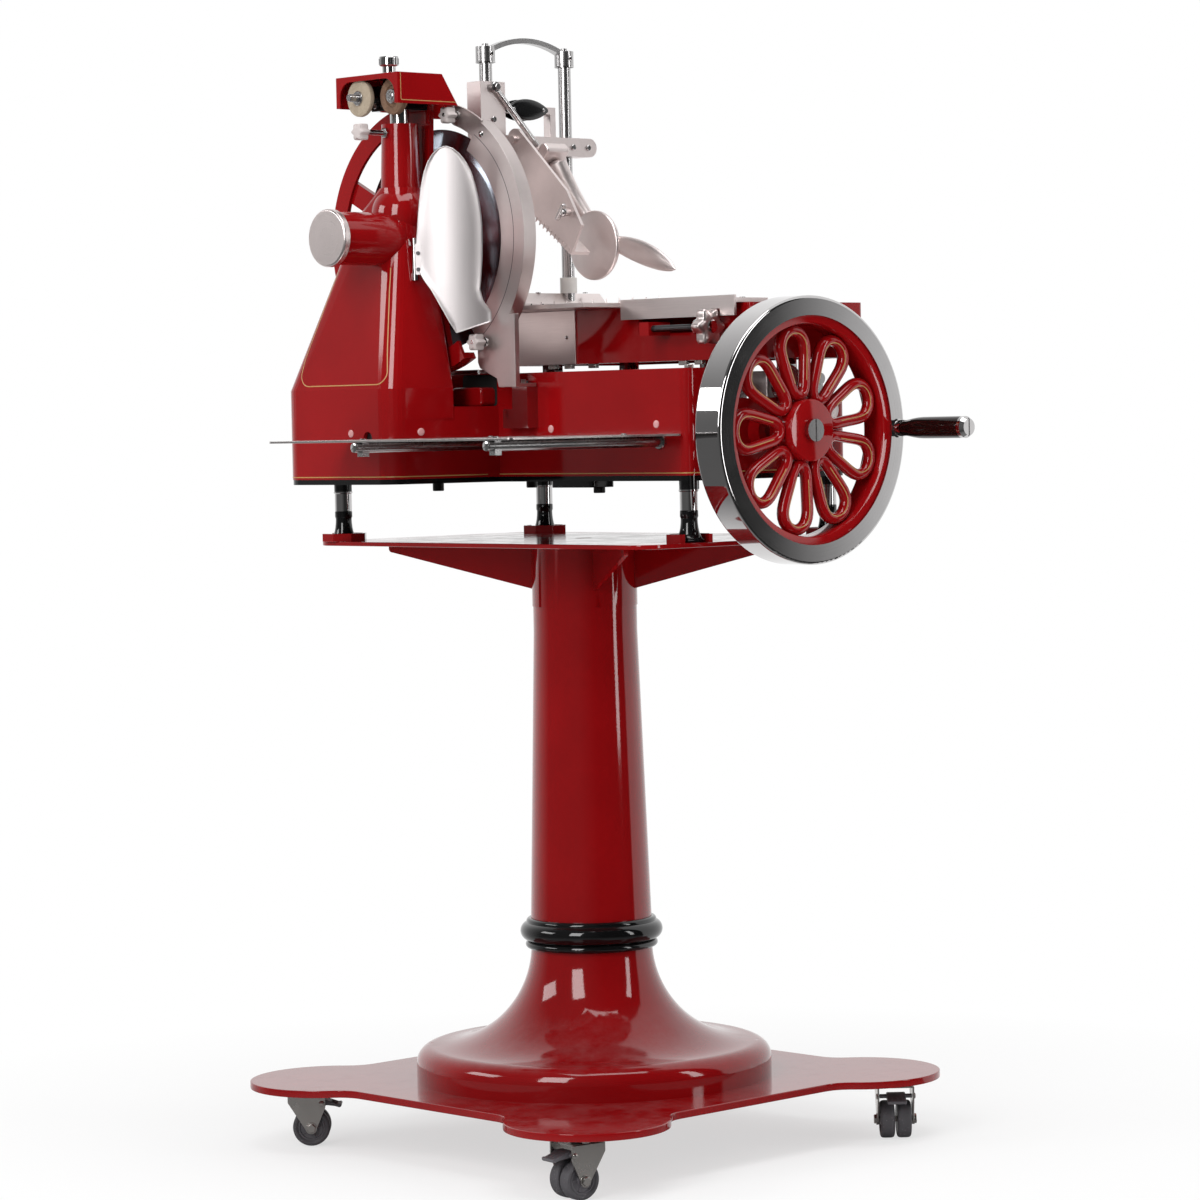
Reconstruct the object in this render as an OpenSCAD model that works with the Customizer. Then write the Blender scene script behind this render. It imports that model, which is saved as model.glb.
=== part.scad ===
// Hand crank meat slicer on its pedestal stand, in millimetres.
// Z is up, the floor is Z = 0 and the pedestal axis is X = Y = 0.
// The crank side faces -Y, the blade shaft runs along X and its end cap faces -X.

/* [Stand base] */
// Height of base plate's underside
base_z = 82; // [70:0.5:100]
// Thickness of base plate
base_t = 10; // [6:0.5:14]
// Half of base plate's width
side_d = 312; // [290:1:330]
// Distance of lobes along X and Y
lobe_c = 262; // [250:1:275]
// Radius of each lobe
lobe_r = 110; // [95:1:125]
// Radius of hollow corners
hollow_r = 45; // [30:1:60]
// Outer radius of bell
bell_r = 247; // [230:1:260]
// Height of bell's rolled foot
bell_foot_h = 46; // [34:1:60]
// Radius of roll on bell's foot
bell_roll = 23; // [12:1:30]
// Radius of hollow sweep of bell
bell_sweep = 140; // [130:1:150]
// Wall of bell and of column
wall_t = 6; // [4:0.5:9]
// Radius of foot of column
column_r0 = 84; // [78:0.5:90]
// Radius of head of column
column_r1 = 72; // [64:0.5:76]
// Height of foot of column's taper
taper_z0 = 314; // [300:1:330]
// Height of top of column's taper
taper_z1 = 711; // [680:1:725]
// Height of seam below column head
seam_z = 746; // [735:1:760]
// Outer radius of black moulding ring
mould_r = 99; // [94:0.5:104]
// Radius of moulding ring's large bead
mould_bead = 13.5; // [10:0.5:16]
// Radius of moulding ring's small beads
mould_lip = 5; // [3:0.5:7]
// Height of large bead's middle
mould_z = 295; // [288:0.5:300]
// Radius to outside of lower bead
mould_low_r = 92; // [89:0.5:96]

/* [Stand head] */
// Radius of column head
head_r = 73; // [70:0.5:77]
// Height of spigot that enters column
spigot_h = 34; // [20:1:60]
// Thickness of end disc of column head
head_cap_t = 8; // [5:0.5:12]
// Height of top plate's underside
top_z = 833; // [820:0.5:845]
// Thickness of top plate
top_t = 6; // [4:0.5:10]
// Half of top plate's width
top_hx = 208; // [200:1:225]
// Half of top plate's length
top_hy = 334; // [320:1:350]
// Corner radius of top plate
top_corner = 31; // [20:1:45]
// Diameter of top plate hole
top_hole_d = 23; // [22:0.5:28]
// Reach of gussets from the axis
gusset_l = 282; // [240:1:300]
// Thickness of gussets
gusset_t = 6; // [4:0.5:9]
// Depth of gussets at column head
gusset_h = 64; // [45:1:75]
// Depth of gussets at their tips
gusset_tip = 11; // [6:0.5:18]
// Diameter of tie rod
tie_d = 12; // [10:0.5:14]
// Size across corners of tie rod's nuts
nut_d = 20; // [17:0.5:21]
// Height of tie rod's nuts
nut_h = 5.5; // [4:0.5:6]
// Height of foot retainers
retain_h = 11; // [7:0.5:15]
// Outer radius of retainers
retain_r = 33; // [30:0.5:36]
// Wall of retainers
retain_t = 5; // [3:0.5:7]

/* [Casters] */
// Distance of swivels along X and Y
caster_c = 294; // [280:1:305]
// Wheel diameter
wheel_d = 52; // [44:1:58]
// Width of each wheel
wheel_w = 20; // [14:0.5:22]
// Gap between twin wheels
wheel_gap = 3; // [2:0.5:5]
// Corner radius of tread
tread_r = 5; // [2:0.5:7]
// Diameter of axle
axle_d = 8; // [6:0.5:10]
// Trail from swivel to axle
trail = 20; // [14:1:26]
// Thickness of fork's sheet
fork_t = 2.5; // [2:0.25:3.5]
// Gap between a wheel and fork
fork_gap = 1.5; // [1:0.25:3]
// Radius of fork's crown
crown_r = 24; // [20:0.5:27]
// Thickness of swivel race
race_t = 6; // [4:0.5:8]
// Radius of swivel race
race_r = 19; // [15:0.5:22]
// Size of mounting plate
mount_w = 62; // [54:1:70]
// Thickness of mounting plate
mount_t = 3; // [2:0.25:4]
// Diameter of mounting screws' heads
mount_screw_d = 10; // [7:0.5:12]
// Height of mounting screws' heads
mount_screw_h = 3.5; // [2:0.5:5]
// Spacing of mounting screws
mount_pitch = 46; // [40:1:52]
// Thickness of brake pedal
pedal_t = 3; // [2:0.25:5]
// Width of brake pedal
pedal_w = 26; // [18:0.5:34]
// Length of brake pedal from its pin
pedal_l = 26; // [20:1:32]
// Radius of brake pedal's pin
pedal_pin_r = 3; // [2:0.25:4]
// Distance of brake pin from swivel
pedal_x = 34; // [30:0.5:38]
// Height of brake pin
pedal_z = 60; // [57:0.5:63]
// Direction in which each caster trails
caster_a = [-43, 172, -133, 60];

/* [Slicer base] */
// Height of base's underside
body_z = 920; // [905:0.5:935]
// Height of raised bed
bed_z = 1068; // [1050:0.5:1080]
// Height of low deck beside bed
deck_z = 1027; // [1010:0.5:1040]
// X of bed's -X face
body_x0 = -112; // [-120:0.5:-104]
// X of base's +X face
body_x1 = 193; // [180:1:205]
// Y of base's -Y face
body_y0 = -321; // [-330:1:-312]
// Y of base's +Y face
body_y1 = 312; // [300:1:320]
// Width of raised bed
bed_w = 60; // [50:1:70]
// X of tower block's -X face
tower_x = -277; // [-285:1:-265]
// Y of tower block's near corner
tower_y = 83; // [70:1:95]
// Y where tower block meets bed
join_y = 46; // [35:1:55]
// Height of tower block's straight part
block_z = 1008; // [990:1:1025]
// Height of ledge beside tower
ledge_z = 1024; // [1016:1:1032]
// Corner radius of tower block
block_r = 30; // [18:1:40]
// Corner radius of bed
body_r = 13; // [8:1:20]
// Wall of base casting
cast_t = 7; // [5:0.5:10]
// Height of base's black skirt
skirt_h = 7; // [4:0.5:10]
// Depth of black skirt's step
skirt_in = 0.8; // [0.5:0.1:2]

/* [Tower and blade shaft] */
// Y of blade shaft
shaft_y = 130; // [120:0.5:140]
// Height of blade shaft
shaft_z = 1254; // [1240:0.5:1265]
// X of tower's neck
neck_x = -207; // [-215:0.5:-200]
// Radius of tower's neck at its foot
neck_r = 30; // [26:0.5:30.5]
// Radius of tower's neck at its top
neck_r1 = 25; // [21:0.5:29]
// Depth of neck's top below rim
neck_down = 29; // [18:1:42]
// Radius of ball above shaft
ball_r = 42; // [38:0.5:46]
// Corner radius at tower's top
tower_r1 = 22; // [16:0.5:26]
// Half of tower's width at shaft
tower_hw = 34; // [31:0.5:38]
// X of tower's +X side
tower_bx = -181; // [-184:0.5:-179]
// Height of top of tower's taper
tower_z1 = 1290; // [1280:1:1298]
// Height of tower's straight foot above block
tower_up = 42; // [24:1:50]
// Distance from shaft to tower's +Y side at its top
tower_wy = 62; // [50:1:68]
// Height of tower's sloping shoulder
tower_cap = 34; // [24:1:40]
// Rise of ball above shaft
ball_up = 34; // [24:1:42]
// Radius of shaft's boss
boss_r = 36; // [32:0.5:40]
// X of boss's -X end
boss_x = -332; // [-340:0.5:-322]
// Radius of end cap
cap_r = 39; // [37:0.5:42]
// Thickness of end cap
cap_t = 10; // [6:0.5:14]
// Edge rounding of end cap
cap_edge = 2; // [1:0.25:3]
// Diameter of blade shaft
shaft_d = 18; // [14:0.5:20]
// X of blade's middle
blade_x = -141; // [-146:0.5:-136]
// Radius of blade
blade_r = 152; // [148:0.5:156]
// Thickness of blade at its middle
blade_t = 4; // [3:0.25:6]
// Width of blade's bevel
blade_bevel = 26; // [15:0.5:40]
// Thickness of blade at its edge
blade_edge = 1; // [0.8:0.1:1.6]
// Radius of blade's hub
blade_hub_r = 34; // [26:0.5:42]
// Thickness of blade's hub
blade_hub_t = 8; // [4:0.5:12]
// Outer radius of red spoked back wheel
back_r = 186; // [184:0.5:188]
// Width of back wheel's rim
back_w = 22; // [16:0.5:22]
// Thickness of back wheel's rim
back_t = 9; // [6:0.5:14]
// Height of back wheel's flanges
back_flange = 18; // [12:0.5:24]
// Thickness of back wheel's flanges
back_ft = 5; // [3:0.5:7]
// Width of back wheel's spokes
spoke_w = 30; // [22:1:38]
// Thickness of back wheel's spokes
spoke_t = 9; // [6:0.5:12]
// Radius of back wheel's hub
back_hub_r = 58; // [50:1:66]
// X of back wheel's -X face
back_x = -176; // [-180:0.5:-174]
// Angle of back wheel's lower end
back_a0 = -118; // [-122:1:-112]
// Angle of back wheel's upper end
back_a1 = 98; // [92:1:100]
// Angle between two spokes
back_step = 65; // [60:1:70]
// Width of tab behind guard's lug
back_tab = 20; // [16:0.5:24]

/* [Blade guard] */
// Inner radius of guard ring
guard_r0 = 140; // [130:0.5:146]
// Outer radius of guard ring
guard_r1 = 187; // [182:0.5:192]
// Thickness of guard's face
guard_t = 4; // [3:0.25:6]
// Width of guard's rim
guard_w = 22; // [16:0.5:23]
// X of guard's -X face
guard_x = -152; // [-156:0.5:-150]
// Angle of guard's top end
guard_a0 = 122; // [110:1:130]
// Angle of guard's bottom end
guard_a1 = 238; // [228:1:250]
// Angle of guard's lug
lug_a = 108; // [106:0.5:110]
// Radius of guard's lug
lug_r = 14; // [11:0.5:16]
// Distance of guard's lug
lug_d = 176; // [170:0.5:180]
// Radius of star knobs
star_r = 12.5; // [10:0.5:15]
// Length of star knobs
star_l = 16; // [12:0.5:22]
// Number of lobes on star knobs
star_n = 6; // [5:1:8]
// Diameter of studs in star knobs
stud_d = 7; // [5:0.5:9]
// Y of guard stand's -Y edge
stand_y = -34; // [-38:0.5:-28]
// Height of guard stand's foot
stand_z = 1049; // [1045:0.5:1053]
// Thickness of stand's foot plate
stand_foot_t = 5; // [3:0.5:8]
// Length of stand's foot plate
stand_foot_l = 30; // [24:1:32]
// Size of guard's block along X
gblock_x = 20; // [16:0.5:22]
// Width of upper part of guard's block
gblock_w = 30; // [24:1:36]
// Width of lower part of guard's block
gblock_w0 = 49; // [40:1:52]
// Height of upper part of guard's block
gblock_h = 30; // [20:1:32]
// Height of lower part of guard's block
gblock_h0 = 26; // [18:1:30]
// Height of guard's stand
stand_h = 99; // [90:1:108]
// Width of guard's stand
stand_w = 76; // [68:1:82]
// Thickness of guard's stand
stand_t = 8; // [5:0.5:12]

/* [Deflector] */
// X of deflector's pivot
defl_x = -226; // [-232:0.5:-222]
// Y of deflector's pivot
defl_y = 83; // [80:0.5:84]
// Angle of deflector from X axis
defl_a = -50; // [-56:1:-44]
// Width of deflector at its widest
defl_w = 94; // [84:1:102]
// Height of deflector
defl_h = 252; // [235:1:265]
// Height of deflector's foot
defl_z0 = 1124; // [1115:1:1135]
// Radius to which deflector is bent
defl_r = 130; // [100:1:200]
// Thickness of deflector
defl_t = 1.6; // [1.2:0.1:3]
// Radius of deflector's pivot barrel
defl_pin_r = 4; // [3:0.5:5]
// Length of deflector's pivot barrel
defl_pin_l = 38; // [30:1:48]

/* [Tray] */
// Height of tray's top
tray_z = 982; // [970:0.5:995]
// Thickness of tray
tray_t = 3; // [2:0.25:5]
// X of tray's outer edge
tray_x0 = -422; // [-436:1:-414]
// X of tray's inner edge
tray_x1 = -114.5; // [-118:0.5:-112.5]
// Y of tray's -Y edge
tray_y0 = -316; // [-320:1:-305]
// Y of tray's +Y edge
tray_y1 = 168; // [150:1:180]
// Clearance between tray and tower block
tray_clear = 3; // [2:0.5:6]
// Corner radius of tray
tray_corner = 8; // [5:0.5:15]
// Height of tray's arms
arm_h = 14; // [10:0.5:18]
// Y of arm beside tower
arm_y1 = -13; // [-25:1:0]
// Y of other arm
arm_y0 = -272; // [-285:1:-260]
// Length of arms
arm_l = 300; // [280:1:306]
// Radius of clamp screws' heads
clamp_r = 6.5; // [5:0.5:8]
// Length of clamp screws' heads
clamp_l = 9; // [6:0.5:12]
// Width of clamps
clamp_w = 11; // [8:0.5:14]
// Height of clamps
clamp_h = 19; // [15:0.5:24]

/* [Levelling feet] */
// Places of four feet
foot_xy = [[-183, 297], [178, 271], [-92, -301], [174, -301]];
// Height of black caps below base
foot_cap_h = 12; // [6:0.5:18]
// Radius of black caps
foot_cap_r = 12.5; // [11:0.5:13]
// Radius of chrome sleeves
sleeve_r = 12; // [10:0.5:14]
// Height of chrome sleeves
sleeve_h = 27; // [18:0.5:34]
// Radius of black feet at top
pad_r0 = 11; // [9:0.5:13]
// Radius of black feet at bottom
pad_r1 = 21; // [18:0.5:24]
// Height of straight part of black feet
pad_neck = 16; // [8:0.5:22]
// Thickness of black feet's rim
pad_rim = 3; // [2:0.5:5]

/* [Flywheel] */
// X of flywheel's axis
wheel_x = 24; // [16:0.5:32]
// Height of flywheel's axis
wheel_z = 983; // [975:0.5:992]
// Y of flywheel's outer face
wheel_y = -420; // [-430:1:-412]
// Radius of flywheel
wheel_r = 177; // [170:0.5:182]
// Depth of rim
rim_w = 46; // [38:0.5:50]
// Radius of inside of chrome rim
rim_r0 = 151; // [146:0.5:156]
// Edge rounding of chrome rim
rim_edge = 4; // [2:0.5:7]
// Thickness of red ring inside rim
ring_t = 11; // [8:0.5:14]
// Depth of red ring
ring_w = 40; // [32:0.5:42]
// Thickness of petals
petal_t = 14; // [10:0.5:20]
// Depth of petals behind rim's face
petal_in = 12; // [6:0.5:18]
// Number of petals
petal_n = 9; // [9:1:9]
// Distance of petal's wide end
petal_d1 = 108; // [100:0.5:112]
// Outer radius of a petal's wide end
petal_r1 = 33; // [28:0.5:35]
// Distance of petal's narrow end
petal_d0 = 56; // [48:0.5:62]
// Outer radius of a petal's narrow end
petal_r0 = 20; // [16:0.5:24]
// Width of band of a petal
petal_band = 13; // [10:0.5:15]
// Radius of flywheel's hub
hub_r = 41; // [36:0.5:46]
// Thickness of flywheel's hub
hub_t = 40; // [30:0.5:46]
// Radius of chrome hub cap
hubcap_r = 15; // [12:0.5:18]
// Height of chrome hub cap
hubcap_h = 7; // [4:0.5:10]
// Width of slot in caps
slot_w = 2.5; // [1.5:0.25:4]
// Diameter of main shaft
main_d = 22; // [18:0.5:26]
// Y of main shaft's inner end
main_y1 = 100; // [60:1:110]
// Radius of front bearing
bearing_r = 23; // [20:0.5:30]
// Length of front bearing in front of base
bearing_l = 20; // [12:0.5:30]
// Clearance of shafts in their bearings
run = 0.08; // [0.05:0.01:0.1]
// Distance from axis to crank grip
grip_d = 164; // [158:0.5:168]
// Diameter of crank spindle
spindle_d = 10; // [8:0.5:13]
// Length of crank grip
grip_l = 104; // [90:1:112]
// Radius of crank grip
grip_r = 14.5; // [12:0.5:17]
// Radius of grip at wheel
grip_r0 = 11; // [9:0.5:13]
// Length of collar at wheel
collar_l = 11; // [8:0.5:16]
// Radius of collar at wheel
collar_r = 11; // [8:0.5:12]
// Height of chrome end of grip
grip_cap_h = 11; // [7:0.5:15]
// Radius of cross shaft's bevel gear
bevel_r = 33; // [30:0.5:35]
// Height of bevel gears
bevel_h = 12; // [8:0.5:14]
// Radius of main shaft's bevel gear
pinion_r = 16.5; // [15:0.5:20]
// Gap between two bevel gears
mesh_gap = 1; // [0.5:0.1:2]
// Radius of lower sprocket
sprocket_r0 = 24; // [20:0.5:26]
// Radius of upper sprocket
sprocket_r1 = 14; // [12:0.5:16]
// Thickness of sprockets
sprocket_t = 6; // [4:0.5:9]
// Thickness of chain
chain_t = 7; // [5:0.5:9]
// Width of chain
chain_w = 9; // [7:0.5:12]
// Gap between chain and its sprockets
chain_gap = 1; // [0.5:0.1:2]
// X of chain
chain_x = -206; // [-212:0.5:-200]

/* [Carriage] */
// X of carriage's -X face
car_x0 = -30; // [-36:0.5:-24]
// X of carriage's +X face
car_x1 = 186; // [176:0.5:190]
// Y of carriage's -Y end
car_y0 = -362; // [-366:0.5:-350]
// Y of carriage's +Y end
car_y1 = 118; // [100:1:130]
// Height of carriage's underside
car_z0 = 1079; // [1074:0.5:1086]
// Height of carriage's top
car_z1 = 1153; // [1144:0.5:1158]
// Wall of carriage
car_t = 7; // [5:0.5:9]
// Corner radius of carriage
car_r = 8; // [4:0.5:12]
// Length of carriage's window
win_l = 117; // [90:1:120]
// Height of carriage's window
win_h = 24; // [12:0.5:26]
// Y of window's -Y end
win_y = -266; // [-280:1:-250]
// Height of window's foot
win_z = 1116; // [1108:0.5:1120]
// Length of aluminium end plate
endplate_l = 142; // [120:1:144]
// Thickness of aluminium end plate
endplate_t = 2.5; // [1.5:0.25:4]
// Y of end plate's -Y edge
endplate_y = -26; // [-34:1:-18]
// Diameter of rails
rail_d = 16; // [12:0.5:18]
// Height of rails' axis
rail_z = 1052; // [1046:0.5:1060]
// X of first rail
rail_x0 = 4; // [-10:1:14]
// X of second rail
rail_x1 = 152; // [140:1:160]
// Length of rail brackets
rail_foot = 22; // [16:0.5:30]
// Radius of carriage's rollers
roller_r = 11; // [9:0.5:13]
// Width of carriage's rollers
roller_w = 14; // [10:0.5:18]
// Diameter of rollers' pins
roller_pin = 6; // [4:0.5:8]
// Gap between a roller and its rail
roller_gap = 0.4; // [0.2:0.1:0.8]

/* [Product table] */
// Thickness of table
tab_t = 6; // [4:0.5:8]
// Gap between table and carriage
tab_gap = 0.3; // [0.2:0.1:0.6]
// X of table's -X edge
tab_x0 = -118; // [-122:0.5:-112]
// X of table's +X edge
tab_x1 = 138; // [130:1:145]
// Y of table's -Y edge
tab_y0 = -200; // [-210:1:-190]
// Y where table's overhang ends
tab_ym = -133; // [-142:1:-120]
// Y of table's +Y edge
tab_y1 = 116; // [110:1:122]
// X of fence's face
fence_x = -44; // [-50:0.5:-38]
// Thickness of fence
fence_t = 4; // [3:0.25:6]
// Length of fence beyond table
fence_l = 148; // [130:1:155]
// Height of fence's foot
fence_z = 1136; // [1132:0.5:1142]
// Height of fence's top
fence_z1 = 1163; // [1160:0.5:1170]
// Width of fence's flange on table
fence_w = 60; // [40:1:80]
// Width of back bar
bar_w = 28; // [22:0.5:34]
// Height of back bar above table
bar_h = 22; // [16:0.5:28]
// Size of back bar's cut corner
bar_cut = 15; // [8:0.5:20]
// Number of pins on table
pin_n = 10; // [6:1:12]
// Spacing of pins
pin_pitch = 26; // [20:0.5:26]
// Height of pins
pin_h = 8; // [5:0.5:10]
// Radius of pins at foot
pin_r = 2; // [1.5:0.25:3]
// Y of first pin
pin_y = 50; // [40:1:56]
// X of pins
pin_x = -24; // [-30:1:-18]
// Diameter of feed screw
screw_d = 9; // [7:0.5:11]
// X of feed screw
screw_x = -61; // [-64:0.5:-58]
// Height of feed screw
screw_z = 1122; // [1118:0.5:1126]
// Y of feed knob
fknob_y = -304; // [-312:1:-296]
// Radius of feed knob
fknob_r = 26; // [22:0.5:28]
// Thickness of feed knob
fknob_t = 16; // [10:0.5:20]
// Radius of feed knob's neck
fknob_neck = 10; // [8:0.5:13]
// Number of lobes on feed knob
fknob_n = 6; // [5:1:7]

/* [Guide rods] */
// Y of rods
rod_y = 101; // [96:0.5:104]
// X of first rod
rod_x0 = -73; // [-78:0.5:-68]
// X of second rod
rod_x1 = 76; // [70:0.5:80]
// Diameter of rods
rod_d = 18; // [15:0.5:20]
// Height of rods' tops
rod_z = 1512; // [1490:1:1530]
// Radius of rods' caps
rcap_r = 13.5; // [12:0.5:16]
// Height of rods' caps
rcap_h = 21; // [15:0.5:26]
// Depth of rods' seats
rod_seat = 12; // [8:0.5:16]
// Radius of white bushings
bush_r = 12; // [11:0.5:15]
// Height of white bushings
bush_h = 22; // [16:0.5:28]
// Rise of arched handle above caps
arch_h = 18; // [12:0.5:24]
// Thickness of arched handle
arch_t = 7; // [5:0.5:9]
// Width of arched handle
arch_w = 12; // [8:0.5:18]

/* [Press] */
// Height of left slider's underside
sl_z0 = 1405; // [1395:1:1415]
// Height of left slider
sl_h = 67; // [55:1:75]
// Width of left slider
sl_w = 46; // [36:1:50]
// Depth of left slider
sl_d = 28; // [28:0.5:34]
// Height of side bar's underside
sb_z0 = 1373; // [1366:1:1380]
// Height of side bar
sb_h = 26; // [20:0.5:30]
// Depth of side bar
sb_d = 30; // [26:0.5:36]
// Reach of side bar beyond rod
sb_reach = 46; // [36:1:56]
// Clearance of sliders on rods
slide_run = 0.08; // [0.05:0.01:0.1]
// Diameter of slanted tie
link_d = 8; // [6:0.5:10]
// Height of grip's middle
pg_z = 1436; // [1430:1:1440]
// X of grip's upright
gu_x = 41; // [38:0.5:46]
// Length of grip's black pads
pad_l = 84; // [72:1:86]
// Height of grip's black pads
pad_h = 30; // [24:0.5:32]
// Thickness of grip's black pads
pad_t = 6; // [4:0.5:8]
// Thickness of grip's frame
grip_t = 10; // [7:0.5:13]
// Width of grip's frame
grip_w = 14; // [10:0.5:18]
// Y of press plate's pivot
pp_y = 70; // [64:0.5:74]
// Height of press plate's pivot
pp_z = 1392; // [1386:0.5:1398]
// X of press plate
pp_x = -49.5; // [-49.5:0.5:-44]
// Thickness of press plate
pp_t = 5; // [4:0.5:7]
// Length of press plate
pp_l = 186; // [165:1:200]
// Depth of press plate
pp_h = 52; // [42:1:60]
// Angle at which press plate rests
pp_a = 38; // [30:1:44]
// Width of press plate's toothed flange
pp_flange = 34; // [24:1:42]
// Number of teeth along flange
tooth_n = 7; // [5:1:9]
// Height of teeth
tooth_h = 7; // [5:0.5:10]
// Radius of teeth at root
tooth_r = 2.5; // [2:0.25:3.5]
// Radius of press plate's pivot lug
pp_lug = 15; // [12:0.5:18]
// X of pusher arm
pa_x = 4; // [2:0.5:6]
// Y of pusher arm's pivot
pa_y = 61; // [58:0.5:62]
// Height of pusher arm's pivot
pa_z = 1365; // [1362:0.5:1367]
// Length of pusher's clamp block
slab_l = 48; // [40:1:50]
// Thickness of pusher's clamp block
slab_t = 14; // [10:0.5:16]
// Width of pusher's clamp block
slab_w = 38; // [30:1:40]
// Angle of pusher's clamp block
slab_a = 45; // [38:1:52]
// X of pusher disc's front
pd_x = 16; // [10:0.5:22]
// Y of pusher disc
pd_y = -14; // [-20:1:-8]
// Height of pusher disc's middle
pd_z = 1243; // [1236:1:1250]
// Radius of pusher disc
pd_r = 48; // [42:0.5:52]
// Thickness of pusher disc
pd_t = 7; // [5:0.5:10]
// Radius of pusher arm at disc
pa_r0 = 13; // [10:0.5:15]
// Radius of pusher arm at pivot
pa_r1 = 17; // [14:0.5:20]
// Length of leaf handle
leaf_l = 122; // [105:1:135]
// Half of leaf handle's width
leaf_w = 19; // [14:0.5:23]
// Thickness of leaf handle
leaf_t = 12; // [8:0.5:16]
// Angle of leaf handle below level
leaf_a = 19; // [10:1:26]

/* [Sharpener] */
// Diameter of sharpener's post
post_d = 26; // [22:0.5:30]
// Depth of post in neck
post_in = 60; // [40:1:80]
// Depth of sharpener's block below rim
sh_down = 11; // [9:0.5:16]
// X of sharpener's middle
sh_x = -224; // [-230:0.5:-218]
// X of hood's -X end
hood_x0 = -265; // [-268:0.5:-264]
// Depth of hood's foot below rim
hood_low = 6; // [3:0.5:8]
// Height of hood
hood_h = 42; // [34:0.5:48]
// Length of hood along X
hood_lx = 108; // [100:1:116]
// Length of hood along Y
hood_ly = 129; // [124:1:136]
// Thickness of hood's sheet
hood_t = 2.5; // [2:0.25:4]
// Length of hood's slope
hood_slope = 28; // [22:1:40]
// Size of frame's block along X
frame_lx = 50; // [44:1:51]
// Size of frame's block along Y
frame_ly = 58; // [44:1:66]
// Height of frame's block
frame_h = 34; // [26:0.5:40]
// Radius of stones
stone_r = 25; // [22:0.5:25.5]
// Thickness of stones
stone_t = 9; // [6:0.5:12]
// Diameter of stones' spindles
sspin_d = 10; // [8:0.5:12]
// Y of first stone
stone_y = 153; // [150:0.5:156]
// Y of second stone
stone2_y = 98; // [94:0.5:99]
// X of stones' middle
stone_x = -256; // [-256.5:0.5:-254]
// Distance between stones along X
stone_dx = 13; // [12:0.5:14]
// Height of stones above rim
stone_up = 6; // [2:0.5:9]
// Radius of top knob
tk_r = 13; // [11:0.5:15]
// Height of top knob's head
tk_h = 12; // [8:0.5:15]
// Radius of top knob's neck
tk_neck = 9; // [7:0.5:11]
// Height of top knob's neck
tk_neck_h = 14; // [8:0.5:18]

/* [Thickness dial] */
// Radius of dial
dial_r = 25; // [20:0.5:28]
// Thickness of dial
dial_t = 12; // [8:0.5:16]
// X of dial
dial_x = 66; // [60:0.5:72]
// Height of dial
dial_z = 1046; // [1043:0.5:1049]
// Y of dial's front
dial_y = -337; // [-342:0.5:-335]
// Width of dial's housing
house_w = 44; // [36:1:50]
// Height of dial's housing
house_h = 34; // [26:0.5:38]
// Length of dial's housing
house_l = 40; // [30:1:50]
// Diameter of dial's shaft
dshaft_d = 9; // [7:0.5:11]
// Radius of round stop beside dial
stop_r = 15; // [12:0.5:18]
// X of round stop
stop_x = 150; // [140:1:160]
// Height of round stop
stop_z = 1010; // [1000:1:1011]

/* [Hidden] */
$fn = 96;
// Colours used by several pieces
red = "#a3151a";
steel = "#c3c3c5";
cast = "#b7b7b9";
satin = "#b1b1b3";
zinc = "#b9b9bb";
// Facets of the rounded corners that a hull joins
hull_fn = 32;
// Overrun of every cut
over = 1;
// Depth by which welded pieces sit in one another
seat = 0.3;
// Thickness of the discs that a hull joins
thin = 1;
base_top = base_z + base_t;
top_face = top_z + top_t;
cast_z = body_z + skirt_h;
tray_b = tray_z - tray_t;
arm_zc = tray_b - arm_h / 2;
tab_z = car_z1 + tab_gap;
tab_top = tab_z + tab_t;
bar_top = tab_top + bar_h;
shaft_r = shaft_d / 2;
main_r = main_d / 2;
slope_k = (tower_y - join_y) / (body_x0 - tower_x);
block_cy = tower_y - block_r * slope_k + block_r * sqrt(1 + slope_k * slope_k);
caster_xy = [[-caster_c, caster_c], [-caster_c, -caster_c], [caster_c, -caster_c], [caster_c, caster_c]];
axle_z = wheel_d / 2;
fork_w = 2 * wheel_w + wheel_gap + 2 * fork_gap + 2 * fork_t;
race_z = base_z - mount_t - race_t;
roller_z = rail_z + rail_d / 2 + roller_gap + roller_r;
roller_share = [-0.52, 0.125];
roller_y = roller_share * (car_y1 - car_y0);
rod_xs = [rod_x0, rod_x1];
rail_xs = [rail_x0, rail_x1];
rim_z = shaft_z + back_r;
neck_z = rim_z - neck_down;
sh_z = rim_z - sh_down;
hood_z = rim_z - hood_low + hood_h;
stone_z = rim_z + stone_up;
post_b = neck_z - post_in;
cap_x = boss_x - cap_t;
blade_x0 = blade_x - blade_t / 2;
chain_c = [[shaft_y, wheel_z, sprocket_r0], [shaft_y, shaft_z, sprocket_r1]];
// Outline of the press plate: shares of its length and of its depth
plate_share = [[-0.06, 0.1], [0.03, 0.28], [0.68, 0.06], [0.965, -0.34], [1, -1.1], [0.5, -1.2],
  [-0.04, -0.3]];
// Outline of the deflector from its pivot side: shares of its width and of its height
defl_share = [[0, 0.335], [0, 0.465], [0.06, 0.465], [0.055, 0.58], [0.09, 0.72], [0.16, 0.87],
  [0.3, 0.965], [0.44, 1], [0.6, 0.985],
  [0.76, 0.93], [0.88, 0.84], [0.96, 0.72], [1, 0.58], [1, 0.42], [0.975, 0.30], [0.95, 0.235],
  [0.985, 0.17], [1.12, 0.085], [1.08, 0.062], [0.9, 0.026], [0.6, 0], [0.42, 0.11], [0.24, 0.23],
  [0.12, 0.29], [0.07, 0.335]];

// Cylinder along +X
module xcyl(r, h) { rotate([0, 90, 0]) cylinder(r = r, h = h); }
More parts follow.
